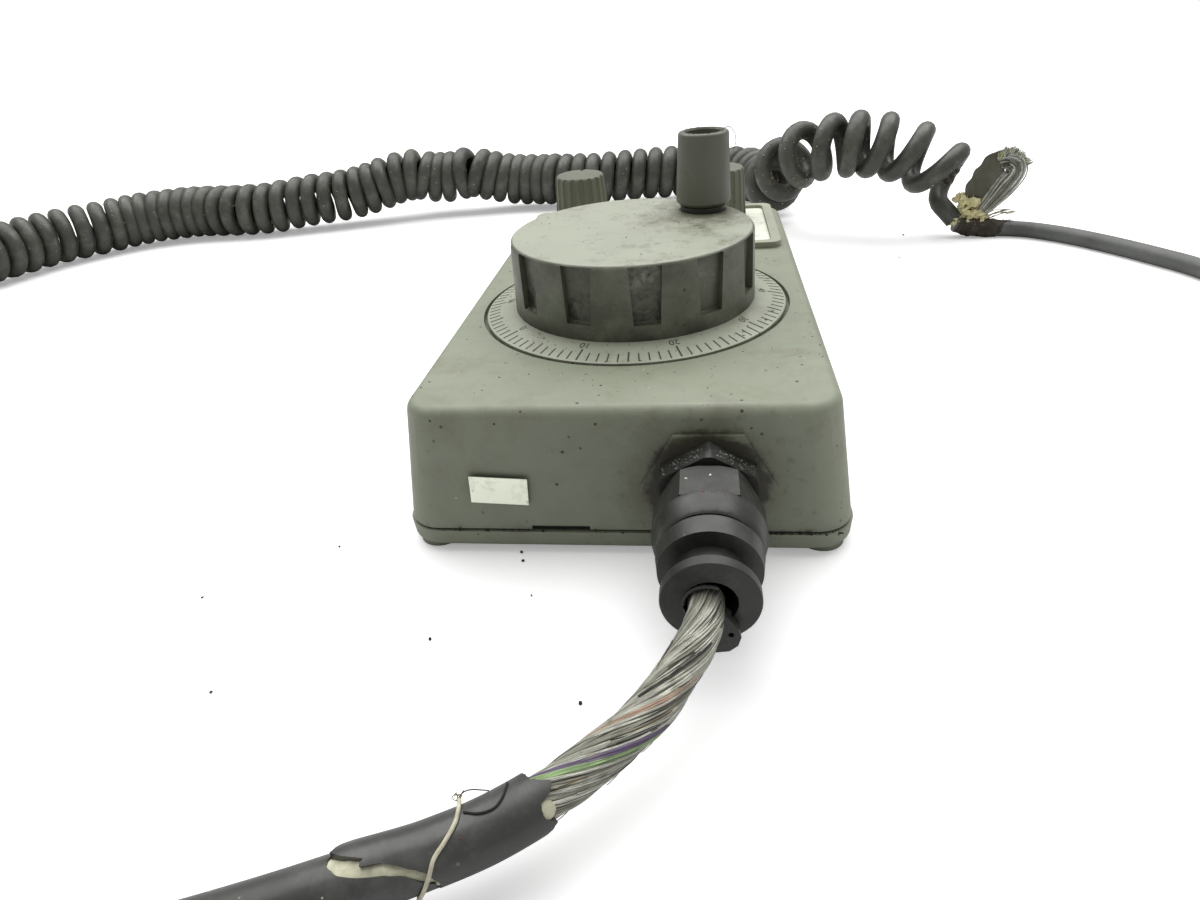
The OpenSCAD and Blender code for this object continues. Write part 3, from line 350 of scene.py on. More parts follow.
class Shader(Nodes):
    """A material's nodes, round its principled one; place is where a point lies in its object."""

    def __init__(self, name, rough, metal=0.0):
        self.material = bpy.data.materials.new(name)
        self.material.use_nodes = True
        super().__init__(self.material.node_tree)
        self.out = self.tree.nodes["Principled BSDF"]
        self.set(self.out, {"Roughness": rough, "Metallic": metal})
        self.place = self.add("ShaderNodeTexCoord").outputs["Object"]

    def noise(self, scale, detail=4, rough=0.55, distortion=0.0, place=None):
        values = {"Vector": place or self.place, "Scale": scale, "Detail": detail, "Roughness": rough}
        return self.add("ShaderNodeTexNoise", {**values, "Distortion": distortion}).outputs["Fac"]

    def cloud(self, noise, low, high, to_low=0.0, to_high=1.0):
        """A noise, given by its scale, detail, roughness and distortion, spread between two levels."""
        return self.span(self.noise(*noise), low, high, to_low, to_high)

    def mix(self, amount, a, b):
        return self.add("ShaderNodeMix", {0: amount, 6: a, 7: b}, data_type="RGBA").outputs[2]

    def parts(self, place=None):
        return self.add("ShaderNodeSeparateXYZ", {0: place or self.place}).outputs[:3]

    def joined(self, x, y, z):
        return self.add("ShaderNodeCombineXYZ", {0: x, 1: y, 2: z}).outputs[0]

    def length(self, x, y, z):
        away = self.joined(x, y, z)
        return self.add("ShaderNodeVectorMath", {0: away}, operation="LENGTH").outputs["Value"]

    def corners(self, reach, low, high, most):
        """How far a point lies in a corner or hollow, up to the most."""
        node = self.add("ShaderNodeAmbientOcclusion", {"Distance": reach}, samples=6)
        return self.span(self.math("SUBTRACT", 1.0, node.outputs["AO"], clamp=True), low, high, 0, most)

    def specks(self, color, scale, share, speck, size, cluster=1.0):
        """Small specks over a colour: cells whose random number is under share."""
        cells = self.add("ShaderNodeTexVoronoi", {"Vector": self.place, "Scale": scale}).outputs
        chosen = self.math("LESS_THAN", self.parts(cells["Color"])[0], share)
        spot = self.times(self.math("LESS_THAN", cells["Distance"], size), chosen, cluster)
        return self.mix(spot, color, speck)

    def bump(self, height, strength, distance, before=None):
        values = {"Strength": strength, "Distance": distance, "Height": height}
        if before is not None:
            values["Normal"] = before
        return self.add("ShaderNodeBump", values).outputs["Normal"]

    def finish(self, color, rough=None, normal=None):
        for key, value in (("Base Color", color), ("Roughness", rough), ("Normal", normal)):
            if value is not None:
                self.set(self.out, {key: value})
        return self.material


# dark tone for dirt specks and tarnish, also used for the painted shade in corners and hollows
DIRT_AND_SHADE = (0.035, 0.027, 0.017)
DUST = (0.52, 0.50, 0.42)


def tint(color, k):
    return tuple(c * k for c in color)


def worn_plastic(name, color, rough=0.46, corner_shade_and_dirt=0.55, reach=0.0035, extra=None):
    """Moulded plastic that has been handled: uneven tone, corners and hollows darkened as painted shade with
    dirt, specks and a fine grain.
    """
    s = Shader(name, rough)
    base = s.mix(s.cloud((18, 4), 0.32, 0.68), tint(color, 0.90), tint(color, 1.08))
    for noise, low, high, most, stain in (
        ((75, 6, 0.65, 0.2), 0.50, 0.70, 0.34, tint(color, 0.66)),
        ((60, 7, 0.75, 0.3), 0.50, 0.70, 0.42, (0.16, 0.135, 0.080)),
        ((210, 7, 0.8, 3.0), 0.63, 0.69, 0.45, (0.12, 0.105, 0.065)),
        ((140, 5, 0.7), 0.58, 0.78, 0.20, tint(DUST, 0.62)),
    ):
        base = s.mix(s.cloud(noise, low, high, 0, most), base, stain)
    # corners and hollows darkened towards the dark tone: painted shade with some dirt, broken up by a noise
    corner_mask_breakup = s.cloud((320, 5, 0.7), 0.35, 0.7, 0.35, 1.0)
    base = s.mix(s.times(s.corners(reach, 0.12, 0.75, corner_shade_and_dirt), corner_mask_breakup), base, DIRT_AND_SHADE)
    patches = s.cloud((55, 3), 0.42, 0.6)
    base = s.specks(base, 520, 0.17, DIRT_AND_SHADE, 0.19, patches)
    base = s.specks(base, 260, 0.07, tint(DIRT_AND_SHADE, 0.7), 0.085)
    base = s.specks(base, 610, 0.04, tint(DUST, 1.1), 0.13, patches)
    if extra:
        base = extra(s, base)
    scuff = s.cloud((95, 5, 0.6), 0.3, 0.7, rough - 0.06, rough + 0.12)
    return s.finish(base, scuff, s.bump(s.noise(3200, 2, 0.5), 0.10, 0.00008,
                                        s.bump(s.noise(240, 3, 0.5), 0.05, 0.0004)))


def wheel_dirt_and_painted_light(s, base):
    """Pocket floors darkened as painted shade, with dark smudges that are stronger lower down and chalky dust
    higher up; the rim darkened and mottled as painted shade; darker towards the foot; the top lightened as a
    painted sheen, with stains that gather near the grip.
    """
    x, y, z = s.parts()
    foot_z, head_z = wheel_low[2], wheel_high[2]
    r = s.length(x, s.math("SUBTRACT", y, wheel_at[1] * MM), 0.0)
    inside = s.math("LESS_THAN", r, (wheel_r - 1.45) * MM)
    above = s.math("GREATER_THAN", z, (foot_z + 4.0) * MM)
    floor = s.times(inside, above, s.math("LESS_THAN", z, (head_z - 0.7) * MM))
    # pocket floors darkened: painted shade
    base = s.mix(s.times(floor, 0.6), base, (0.055, 0.056, 0.045))
    smudge = s.times(s.cloud((240, 6, 0.75, 1.4), 0.42, 0.58, 0.0, 0.9), s.cloud((34, 1), 0.44, 0.52))
    low = s.span(z, (foot_z + 13) * MM, (foot_z + 6) * MM, 0.3, 1.0)
    base = s.mix(s.times(floor, smudge, low), base, (0.010, 0.009, 0.007))
    chalk = s.times(s.cloud((330, 6, 0.8, 0.6), 0.48, 0.62, 0, 0.8), s.cloud((27, 1), 0.50, 0.58))
    high = s.span(z, (foot_z + 9) * MM, (foot_z + 14) * MM)
    base = s.mix(s.times(floor, chalk, high), base, tint(DUST, 0.7))
    # the rim outside the pockets darkened and mottled: painted shade
    rim = s.times(s.math("SUBTRACT", 1.0, inside), s.math("LESS_THAN", z, (head_z - 0.6) * MM))
    base = s.mix(s.times(rim, s.cloud((85, 6, 0.75), 0.32, 0.66, 0.45, 0.88)), base, (0.060, 0.060, 0.040))
    on_top = s.math("GREATER_THAN", z, (head_z - 0.5) * MM)
    grip_foot = (crank_at[0] * MM, crank_at[1] * MM, head_z * MM)
    away = s.add("ShaderNodeVectorMath", {0: s.place, 1: grip_foot}, operation="DISTANCE")
    from_grip = away.outputs["Value"]
    near = s.math("ADD", s.span(from_grip, 0.006, 0.021, 1.1, 0.0), s.span(x, -0.006, 0.030, 0.0, 0.55))
    stains = s.math("ADD", s.cloud((120, 8, 0.8), 0.40, 0.68), s.times(near, 0.6))
    # the top lightened: painted sheen
    base = s.mix(s.times(on_top, 0.5), base, (0.49, 0.51, 0.41))
    base = s.mix(s.times(s.span(stains, 0.55, 1.25, 0.0, 0.80), on_top), base, (0.105, 0.096, 0.060))
    streak = s.cloud((360, 7, 0.85, 0.2), 0.60, 0.72, 0.0, 0.40)
    base = s.mix(s.times(streak, on_top), base, (0.07, 0.060, 0.038))
    # darker towards the wheel's foot
    foot = s.span(z, (foot_z + 4.0) * MM, (foot_z + 0.5) * MM, 0, 0.75)
    return s.mix(s.times(foot, s.cloud((110, 5, 0.7), 0.32, 0.56)), base, tint(DIRT_AND_SHADE, 0.5))


def gland_stain(s, base):
    """The dark dirty ring on the cover's front face round the cable gland."""
    x, y, z = s.parts()
    r = s.length(s.math("SUBTRACT", x, gland_x * MM), 0.0, s.math("SUBTRACT", z, gland_z * MM))
    ragged = s.math("ADD", r, s.cloud((160, 5, 0.7), 0.3, 0.7, -0.0016, 0.0016))
    front = s.math("LESS_THAN", y, (cover_low[1] + 3) * MM)
    base = s.mix(s.times(front, s.span(ragged, 0.0118, 0.0134, 0.93, 0.0)), base, (0.022, 0.022, 0.019))
    base = s.mix(s.times(front, s.span(ragged, 0.0125, 0.021, 0.42, 0.0)), base, (0.06, 0.05, 0.028))
    brown = s.times(s.cloud((300, 4, 0.6), 0.56, 0.66, 0, 0.6), front, s.span(r, 0.012, 0.026, 0.7, 0.0))
    return s.mix(brown, base, (0.10, 0.075, 0.03))


def rubber(name, color, rough, dust, specks, film=(0.13, 0.13, 0.115), shine=0.4, scale=1.0, mould=0.05):
    """Dull black rubber or nylon with dust, pale specks and rubbed patches."""
    s = Shader(name, rough)
    s.set(s.out, {"Specular IOR Level": shine})
    base = s.mix(s.cloud((40 * scale, 5, 0.6), 0.3, 0.7), tint(color, 0.75), tint(color, 1.3))
    base = s.mix(s.cloud((150 * scale, 6, 0.7), 0.48, 0.72, 0, dust), base, film)
    patches = s.cloud((60, 3), 0.45, 0.62)
    base = s.specks(base, 560, specks, (0.50, 0.48, 0.40), 0.16, patches)
    base = s.specks(base, 300, specks * 0.5, (0.20, 0.16, 0.08), 0.16, patches)
    scuff = s.cloud((110 * scale, 5, 0.6), 0.3, 0.7, rough - 0.08, rough + 0.14)
    normal = s.bump(s.noise(900, 3, 0.6), mould, 0.0003, s.bump(s.noise(180, 4, 0.6), 0.08, 0.0006))
    return s.finish(base, scuff, normal)


def metal(name, color, rough, dull=0.3):
    """Machined or plated metal with a light brushed grain and some tarnish."""
    s = Shader(name, rough, 1.0)
    base = s.mix(s.cloud((60, 5, 0.6), 0.3, 0.7), tint(color, 1 - dull), color)
    base = s.mix(s.corners(0.002, 0.15, 0.8, 0.3), base, tint(DIRT_AND_SHADE, 2.0))
    scuff = s.cloud((260, 4, 0.6), 0.3, 0.7, rough - 0.08, rough + 0.15)
    return s.finish(base, scuff, s.bump(s.noise(1400, 3, 0.5), 0.06, 0.0001))


def plain(name, color, rough=0.6, vary=0.12, scale=220):
    """A simple surface whose tone and roughness vary a little."""
    s = Shader(name, rough)
    base = s.mix(s.cloud((scale, 4, 0.6), 0.3, 0.7), tint(color, 1 - vary), tint(color, 1 + vary))
    scuff = s.cloud((scale * 2, 3), 0.3, 0.7, rough - 0.05, rough + 0.08)
    return s.finish(base, scuff, s.bump(s.noise(scale * 6, 2), 0.06, 0.0001))


def label(name, color, metal_share=0.0, rough=0.5):
    """A white film or a silvery foil with grey-brown smudges."""
    s = Shader(name, rough, metal_share)
    base = s.mix(s.cloud((190, 6, 0.7), 0.50, 0.70, 0, 0.5), color, (0.40, 0.38, 0.28))
    base = s.mix(s.cloud((520, 5, 0.7), 0.60, 0.72, 0, 0.45), base, (0.16, 0.14, 0.10))
    scuff = s.cloud((90, 3), 0.3, 0.7, rough - 0.06, rough + 0.1)
    return s.finish(base, scuff, s.bump(s.noise(700, 2), 0.05, 0.0001))


def strand(name, color, metal_share=0.55, rough=0.42):
    """Fine wires laid side by side: light and dark lines along the strand."""
    s = Shader(name, rough, metal_share)
    u, v, _ = s.parts(s.add("ShaderNodeUVMap").outputs[0])
    streak = s.noise(2.2, 3, 0.6, place=s.joined(s.times(u, 7.0), s.times(v, 0.12), 0.0))
    base = s.mix(s.span(streak, 0.36, 0.62), tint(color, 0.42), color)
    base = s.mix(s.cloud((420, 4, 0.6), 0.56, 0.72, 0, 0.55), base, (0.16, 0.15, 0.10))
    return s.finish(base, None, s.bump(streak, 0.5, 0.00025))


# ---------------- materials
cover_mat = worn_plastic("cover plastic", (0.275, 0.300, 0.220), extra=gland_stain)
wheel_mat = worn_plastic("wheel plastic", (0.30, 0.325, 0.245), 0.42, 0.8, 0.004, wheel_dirt_and_painted_light)
knob_mat = worn_plastic("knob plastic", (0.145, 0.153, 0.108), 0.45, 0.8, 0.003)
grip_mat = worn_plastic("grip plastic", (0.125, 0.133, 0.100), 0.42, 0.6, 0.003)
dial_mat = worn_plastic("dial plastic", (0.41, 0.44, 0.338), 0.42, 0.5)
bezel_mat = worn_plastic("bezel plastic", (0.37, 0.385, 0.295), 0.48, 0.55, 0.002)
legend_mat = label("legend film", (0.82, 0.845, 0.72))
sticker_mat = label("sticker", (0.95, 1.0, 0.84), 0.92, 0.33)
nylon_mat = rubber("black nylon", (0.021, 0.022, 0.019), 0.37, 0.40, 0.07, (0.10, 0.10, 0.088), 0.5)
jacket_mat = rubber("cable jacket", (0.040, 0.041, 0.037), 0.34, 0.50, 0.05, (0.13, 0.13, 0.118), 0.55)
curly_mat = rubber("curly jacket", (0.055, 0.056, 0.046), 0.40, 0.6, 0.11, (0.17, 0.162, 0.128), 0.5)
tail_mat = rubber("tail jacket", (0.110, 0.115, 0.106), 0.40, 0.4, 0.03, (0.19, 0.19, 0.175))
torn_mat = rubber("torn jacket", (0.040, 0.030, 0.020), 0.75, 0.5, 0.14, scale=2.5, mould=0.25)
strip_mat = rubber("tarnished strip", (0.115, 0.112, 0.080), 0.5, 0.5, 0.05, scale=3.0)
steel_mat = metal("machined steel", (0.62, 0.61, 0.58), 0.32)
casting_mat = metal("dark casting", (0.20, 0.20, 0.21), 0.5)
plug_mat = metal("nickel plate", (0.56, 0.55, 0.52), 0.28, dull=0.2)
braid_mat = strand("tinned wires", (0.52, 0.52, 0.44))
braid_dark_mat = strand("dull wires", (0.33, 0.32, 0.255), 0.4)
braid_pale_mat = strand("bright wires", (0.62, 0.62, 0.54), 0.5, 0.36)
soot_mat = strand("blackened wires", (0.050, 0.046, 0.036), 0.3, 0.5)
core_mat = strand("wires below", (0.16, 0.155, 0.12), 0.3, 0.5)
silver_mat = strand("clean silvery wires", (0.90, 0.92, 0.86), 0.2, 0.30)
green_mat = strand("green strand", (0.36, 0.52, 0.24), 0.1, 0.5)
violet_mat = strand("violet strand", (0.17, 0.12, 0.22), 0.1, 0.5)
salmon_mat = strand("salmon strand", (0.52, 0.36, 0.26), 0.1, 0.5)
gasket_mat = plain("gasket rubber", (0.010, 0.010, 0.009), 0.7)
board_mat = plain("circuit board", (0.022, 0.13, 0.055), 0.38)
tie_mat = plain("tie nylon", (0.62, 0.61, 0.55), 0.4)
ink_mat = plain("faded ink", (0.050, 0.050, 0.040), 0.6, 0.5, 900)
torn_crumb_mat = plain("brown crumbs", (0.075, 0.052, 0.028), 0.85, 0.6, 900)
tuft_mat = plain("yellowed fluff", (0.80, 0.74, 0.44), 0.85, 0.25, 700)
cream_mat = plain("cream lining", (0.60, 0.59, 0.43), 0.7, 0.3, 500)
thread_mat = plain("pale thread", (0.62, 0.58, 0.44), 0.7, 0.3, 700)
fluff_mat = plain("brown fibres", (0.16, 0.115, 0.05), 0.8, 0.5, 600)
debris_mat = plain("tan debris", (0.40, 0.34, 0.20), 0.85, 0.5, 500)
crust_mat = plain("grey crust", (0.115, 0.115, 0.10), 0.5, 0.9, 1400)
dark_debris_mat = plain("dark debris", (0.020, 0.017, 0.012), 0.8, 0.4)
lip_mat = plain("grey seal lip", (0.040, 0.041, 0.037), 0.55)
red_mat = plain("red paint", (0.30, 0.035, 0.02))
# a pale material for a small blob that stands in for a glint of light: painted highlight
glint_mat = plain("painted glint", (0.9, 0.9, 0.84), 0.3)

FINISH = {
    "cover_plastic": cover_mat, "wheel_plastic": wheel_mat, "dial_plastic": dial_mat,
    "legend_film": legend_mat, "black_nylon": nylon_mat, "cable_jacket": jacket_mat,
    "gasket_rubber": gasket_mat, "steel": steel_mat, "dark_casting": casting_mat,
    "board_green": board_mat, "plug_metal": plug_mat, "tie_nylon": tie_mat,
}
OWN_FINISH = {
    "legend_bezel": bezel_mat, "crank_grip": grip_mat, "axis_knob": knob_mat, "scale_knob": knob_mat,
}


def soften_tree(degrees):
    """A modifier tree: smooth faces, with edges sharper than this angle kept sharp."""
    tree = bpy.data.node_groups.new("smooth faces", "GeometryNodeTree")
    tree.interface.new_socket("Geometry", in_out="INPUT", socket_type="NodeSocketGeometry")
    tree.interface.new_socket("Geometry", in_out="OUTPUT", socket_type="NodeSocketGeometry")
    add, link = tree.nodes.new, tree.links.new
    first, last = add("NodeGroupInput"), add("NodeGroupOutput")
    faces, edges = add("GeometryNodeSetShadeSmooth"), add("GeometryNodeSetShadeSmooth")
    edges.domain = "EDGE"
    angle, sharp = add("GeometryNodeInputMeshEdgeAngle"), add("FunctionNodeCompare")
    sharp.data_type, sharp.operation = "FLOAT", "GREATER_THAN"
    sharp.inputs[1].default_value = math.radians(degrees)
    link(first.outputs[0], faces.inputs["Geometry"])
    link(faces.outputs[0], edges.inputs["Geometry"])
    link(angle.outputs["Unsigned Angle"], sharp.inputs[0])
    link(sharp.outputs[0], edges.inputs["Selection"])
    edges.inputs["Shade Smooth"].default_value = False
    link(edges.outputs[0], last.inputs[0])
    return tree


smooth_faces = soften_tree(33)
for part in frame["record"]["subparts"]:
    obj = nodes[part["node"]]
    weld = obj.modifiers.new("joined corners", "WELD")
    weld.merge_threshold = 1e-6
    obj.modifiers.new("smooth faces", "NODES").node_group = smooth_faces
    weighted = obj.modifiers.new("flat faces kept flat", "WEIGHTED_NORMAL")
    weighted.keep_sharp, weighted.weight = True, 80
    finish = OWN_FINISH.get(part["node"], FINISH[part["material_slot"]])
    for holder in obj.material_slots:
        holder.link = "OBJECT"
        holder.material = finish

# ---------------- the dial's scale
RING_IN, RING_OUT_Z = 31.45, 36.3  # inner radius of the dial's sloping ring, height of its outer edge
TICKS_END, NUMERALS_R, NUMERALS_SIZE = 38.5, 32.95, 2.6
INK_LIFT, INK_DEPTH = 0.03, 0.05
SCALE_START = math.radians(-142)


def ring_z(r):
    """Height of the dial's sloping ring at a radius."""
    return dial_high[2] + (RING_OUT_Z - dial_high[2]) * (r - RING_IN) / (dial_r - RING_IN)


def round_at(middle, r, angle, z):
    """A point at a height, round a middle; angle is from +X, counter-clockwise."""
    return (middle[0] + r * math.cos(angle), middle[1] + r * math.sin(angle), z)


def tick(angle, inner, outer, half):
    """A flat bar of ink across the ring."""
    ends = ((inner, -1), (outer, -1), (outer, 1), (inner, 1))
    corners = [round_at(wheel_at, r, angle + side * half / r, ring_z(r) + lift)
               for lift in (-INK_DEPTH, INK_LIFT) for r, side in ends]
    return np.array(corners), BOX_FACES, None


ticks = []
for k in range(100):
    inner = 34.5 if k % 10 == 0 else 35.0 if k % 5 == 0 else 35.6
    bar = tick(SCALE_START + 2 * math.pi * k / 100, inner, TICKS_END, 0.16 if k % 5 else 0.2)
    ticks.append((bar, ink_mat))
piece("dial_graduations", ticks, "wheel", "dial_plastic", smooth=False)

numerals = []
for k in range(10):
    text = bpy.data.curves.new("numeral", "FONT")
    text.body, text.size, text.align_x, text.align_y = str(10 * k), NUMERALS_SIZE, "CENTER", "CENTER"
    holder = bpy.data.objects.new("numeral", text)
    flat = bpy.data.meshes.new_from_object(holder)
    angle = SCALE_START + 2 * math.pi * k / 10
    across, out = np.array([math.sin(angle), -math.cos(angle)]), np.array([math.cos(angle), math.sin(angle)])
    corners = []
    for v in flat.vertices:
        x, y = NUMERALS_R * out + v.co.x * across + v.co.y * out
        corners.append((wheel_at[0] + x, wheel_at[1] + y, ring_z(math.hypot(x, y)) + INK_LIFT))
    numerals.append(((np.array(corners), [tuple(p.vertices) for p in flat.polygons], None), ink_mat))
    bpy.data.objects.remove(holder)
    bpy.data.meshes.remove(flat)
    bpy.data.curves.remove(text)
piece("dial_numerals", numerals, "wheel", "dial_plastic", smooth=False)

# ---------------- the sticker on the front face
STICKER = [(-32.0, 20.6), (-32.4, 13.9), (-19.7, 13.2), (-19.3, 19.9)]
corners = [(x, cover_low[1] + depth, z) for depth in (0.05, -0.14) for x, z in STICKER]
sticker = (np.array(corners), BOX_FACES, None)
piece("rating_sticker", [(sticker, sticker_mat)], "root", "legend_film", smooth=False)


# ---------------- the lead out of the gland
def sleeve(at, starts, ends, outer, inner, rows, lowest=-1000.0):
    """A tube with a wall round a line, that starts and ends at its own distance on each side."""
    sides = len(starts)
    corners = []
    for radius in (outer, inner):
        for i in range(rows + 1):
            for j in range(sides):
                s, a = starts[j] + (ends[j] - starts[j]) * i / rows, 2 * math.pi * j / sides
                corners.append(at(s, radius(s, a), a))
    layer, last = (rows + 1) * sides, rows * sides
    both = zip(wall(rows, sides), wall(rows, sides, layer, inward=True))
    faces = [face for pair in both for face in pair]
    for j in range(sides):
        q = (j + 1) % sides
        faces.append((q, j, layer + j, layer + q))
        faces.append((last + j, last + q, layer + last + q, layer + last + j))
    corners = np.array(corners)
    corners[:, 2] = np.maximum(corners[:, 2], lowest)
    return corners, faces, None


def torn_edge(places, rough, source, sides):
    """Distances at which a torn edge lies, one a side, through (angle in degrees, distance) places."""
    angles = 360 * np.arange(sides) / sides
    return [d + source.uniform(-rough, rough) for d in np.interp(angles, *zip(*places), period=360)]


def thread(places, radius, sides=5):
    """A thin tube through (distance, radius, angle in degrees) places round the lead."""
    return tube(smooth_route([at_lead(s, r, math.radians(a)) for s, r, a in places], 0.4), radius, sides)


lead_line = smooth_route(LEAD_ROUTE, 1.0)
lead_at, at_lead = round_line(lead_line, upright_frames(lead_line))
LEAD_NARROWS = 40.0                              # length over which the lead narrows to the curl at its end
STRIPPED, BUNDLE_ENDS, LINING_ENDS = 0.3, 49.0, 76.0
LINING_R = 3.3
WIRES, TURN_OF_WIRES = 40, 58.0


def jacket_r(s):
    """Outer radius of the lead's jacket, which narrows to the curly part's at its end."""
    places = [lead_at[-1] - LEAD_NARROWS, lead_at[-1]]
    return float(np.interp(s, places, [LEAD_D / 2, CURLY_D / 2]))


def lifted_r(s, a):
    """Outer radius of the short piece of jacket, lifted on top where it is torn from the long one."""
    return jacket_r(s) + 0.65 * min(max((s - 61) / 8, 0), 1) * max(0.0, math.cos(a - 0.5)) ** 2


rnd = random.Random(7)
SIDES = 72
torn = torn_edge([
    (0, 43.6), (10, 44.4), (60, 45), (120, 46), (200, 46.4), (240, 45.4), (256, 44.4), (272, 43.5),
    (280, 44.2), (290, 44.8), (306, 45.0), (322, 44.6), (328, 43.0), (336, 42.3), (346, 42.0),
], 0.16, rnd, SIDES)
first_end = torn_edge([
    (0, 68.4), (12, 70.6), (24, 72), (60, 70), (100, 66.5), (150, 63), (200, 60.5), (240, 59.5), (268, 59.3),
    (290, 60.2), (300, 60.6), (312, 61.8), (324, 63.3), (340, 65.4), (345, 68.2), (350, 67.9), (355, 67.4),
], 0.10, rnd, SIDES)
second_start = torn_edge([
    (0, 72.1), (10, 72.6), (24, 72.4), (60, 70.3), (100, 66.8), (150, 63.3), (200, 60.8), (240, 59.8),
    (268, 59.8), (284, 61.3), (296, 62.1), (308, 63.3), (320, 65.6), (326, 67.4), (332, 69.0), (342, 70.8),
    (352, 71.6),
], 0.10, rnd, SIDES)
second_end = [lead_at[-1] - 0.5] * SIDES
lining = torn_edge([
    (0, 45.5), (276, 45.5), (286, 43.4), (300, 43.0), (318, 43.2), (328, 45.5),
], 0.15, rnd, SIDES)
parts = [
    (sleeve(at_lead, torn, first_end, lifted_r, lambda s, a: 3.5, 20), jacket_mat),
    (sleeve(at_lead, second_start, second_end, lambda s, a: jacket_r(s) - 0.12,
            lambda s, a: jacket_r(s) - 1.0, 170), jacket_mat),
    (sleeve(at_lead, lining, [LINING_ENDS] * SIDES, lambda s, a: 3.98 + 0.1 * math.sin(9 * a + 2 * s),
            lambda s, a: LINING_R, 30), cream_mat),
]


def at_bundle(s, r, angle):
    """A point round the bare bundle, which leaves the boot to the left of its bore."""
    return at_lead(s, r, angle) - np.array([0.75, 0, 0]) * min(max(1 - s / 22, 0), 1)


def bundle_r(s):
    return float(np.interp(s, [0, 6, 16, 50], [2.75, 2.9, 3.12, 3.12]))


def wound(start, end, lift, phase, wave, source):
    """A strand's centreline wound round the bundle."""
    shake = [(source.uniform(0.15, 0.45), source.uniform(0, 6.3), source.uniform(-wave, wave))
             for _ in range(3)]
    out = []
    for s in np.arange(start, end, 0.7):
        off = sum(a * math.sin(f * s + p) for f, p, a in shake)
        angle = phase + 2 * math.pi * s / TURN_OF_WIRES + 0.25 * off
        out.append(at_bundle(s, bundle_r(s) + lift + 0.6 * off, angle))
    return np.array(out)


tones = [braid_mat, braid_mat, braid_mat, braid_pale_mat, braid_pale_mat, braid_dark_mat]
for k in range(WIRES):
    group, member = divmod(k, 5)
    phase = 2 * math.pi * (5 * group + 0.95 * member + 0.2) / WIRES
    lift = (0.10, -0.12, 0.04, -0.05)[group % 4] + rnd.uniform(-0.06, 0.06)
    material = rnd.choice(tones)
    line = wound(STRIPPED, BUNDLE_ENDS, lift, phase, 0.12, rnd)
    parts.append((tube(line, rnd.uniform(0.24, 0.31), 7), material))
core = np.array([at_bundle(s, 0, 0) for s in np.arange(STRIPPED, 60, 1.0)])
parts.append((tube(core, 2.78, 16), core_mat))
lead = piece("cable_lead", parts, *CABLE)
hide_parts("lead_cord")

# coloured strands, with the angles between which each lies, its start and end along the lead, and its radius
TINTED = [
    (102, 112, green_mat, 15, BUNDLE_ENDS, 0.34), (112, 122, violet_mat, 15, BUNDLE_ENDS, 0.34),
    (188, 197, salmon_mat, 15, BUNDLE_ENDS, 0.27), (236, 242, soot_mat, 9, 24.0, 0.13),
]
loose = []
for low, high, material, start, end, r in TINTED:
    for angle in (low, high - 3):
        loose.append((tube(wound(start, end, 0.14, math.radians(angle), 0.05, rnd), r, 7), material))
for k in range(60):
    start = rnd.uniform(0.5, 38)
    line = wound(start, start + rnd.uniform(5, 14), rnd.uniform(0.18, 0.36), rnd.uniform(0, 6.28), 0.28, rnd)
    r = rnd.uniform(0.05, 0.12)
    loose.append((tube(line, r, 4), rnd.choice([braid_pale_mat, soot_mat, soot_mat, fluff_mat, soot_mat])))
lead_strands = piece("lead_inner_strands", loose, *CABLE)

threads = [
    (thread([
        (54.6, 5.1, 58), (54.4, 4.9, 44), (54.6, 4.7, 30), (55.5, 4.65, 358), (57.4, 4.65, 334),
        (59, 4.7, 318), (60.2, 4.65, 294), (61.7, 4.65, 262), (62.6, 4.7, 238), (62.9, 4.9, 215),
    ], 0.30, 7), thread_mat),
    (thread([
        (54.5, 5.3, 62), (53.6, 5.7, 56), (52.4, 5.6, 52), (51, 5.0, 48), (50, 4.5, 44),
    ], 0.10), dark_debris_mat),
    (thread([
        (47.3, 4.5, 34), (47.6, 4.62, 24), (49, 4.62, 2), (50.4, 4.6, 353), (52.4, 4.6, 357),
        (54.2, 4.55, 12),
    ], 0.15), dark_debris_mat),
]
for a in range(48, 73, 5):
    middle, tip = 54.6 + rnd.uniform(-1, 1), 54.4 + rnd.uniform(-1.6, 1.6)
    threads.append((thread([(54.5, 4.8, 48), (middle, 5.6, a), (tip, 6.0, a + 6)], 0.07, 4), fluff_mat))
lead_threads = piece("lead_threads", threads, *CABLE)

# ---------------- the boot's torn tab and the lip in its bore
TAB = [
    (19.3, 17.2), (20.9, 17.4), (22.3, 15.9), (23.3, 14.4), (23.8, 12.9), (23.3, 11.2), (21.9, 10.0),
    (19.4, 9.6), (18.6, 10.3), (19.2, 13.0),
]
HOLE_X, HOLE_Z, HOLE_R, HOLE_SIDES = 22.1, 13.4, 0.5, 10


def slab(outline, hole, near, far):
    """A thin upright plate with a hole, between two depths; both x-z outlines run the same way round."""
    n, m = len(outline), len(hole)
    corners = [(x, y + 0.12 * (z - 13), z) for y in (near, far) for x, z in (*outline, *hole)]
    faces, base = [], n + m
    for k in range(n):
        q = (k + 1) % n
        j, i = n + round(k * m / n) % m, n + round((k + 1) * m / n) % m
        for shift, turn in ((0, 1), (base, -1)):
            face = [shift + k, shift + q, shift + i] + ([shift + j] if i != j else [])
            faces.append(tuple(face[::turn]))
        faces.append((k, base + k, base + q, q))
    for k in range(m):
        q = (k + 1) % m
        faces.append((n + q, base + n + q, base + n + k, n + k))
    return np.array(corners), faces, None


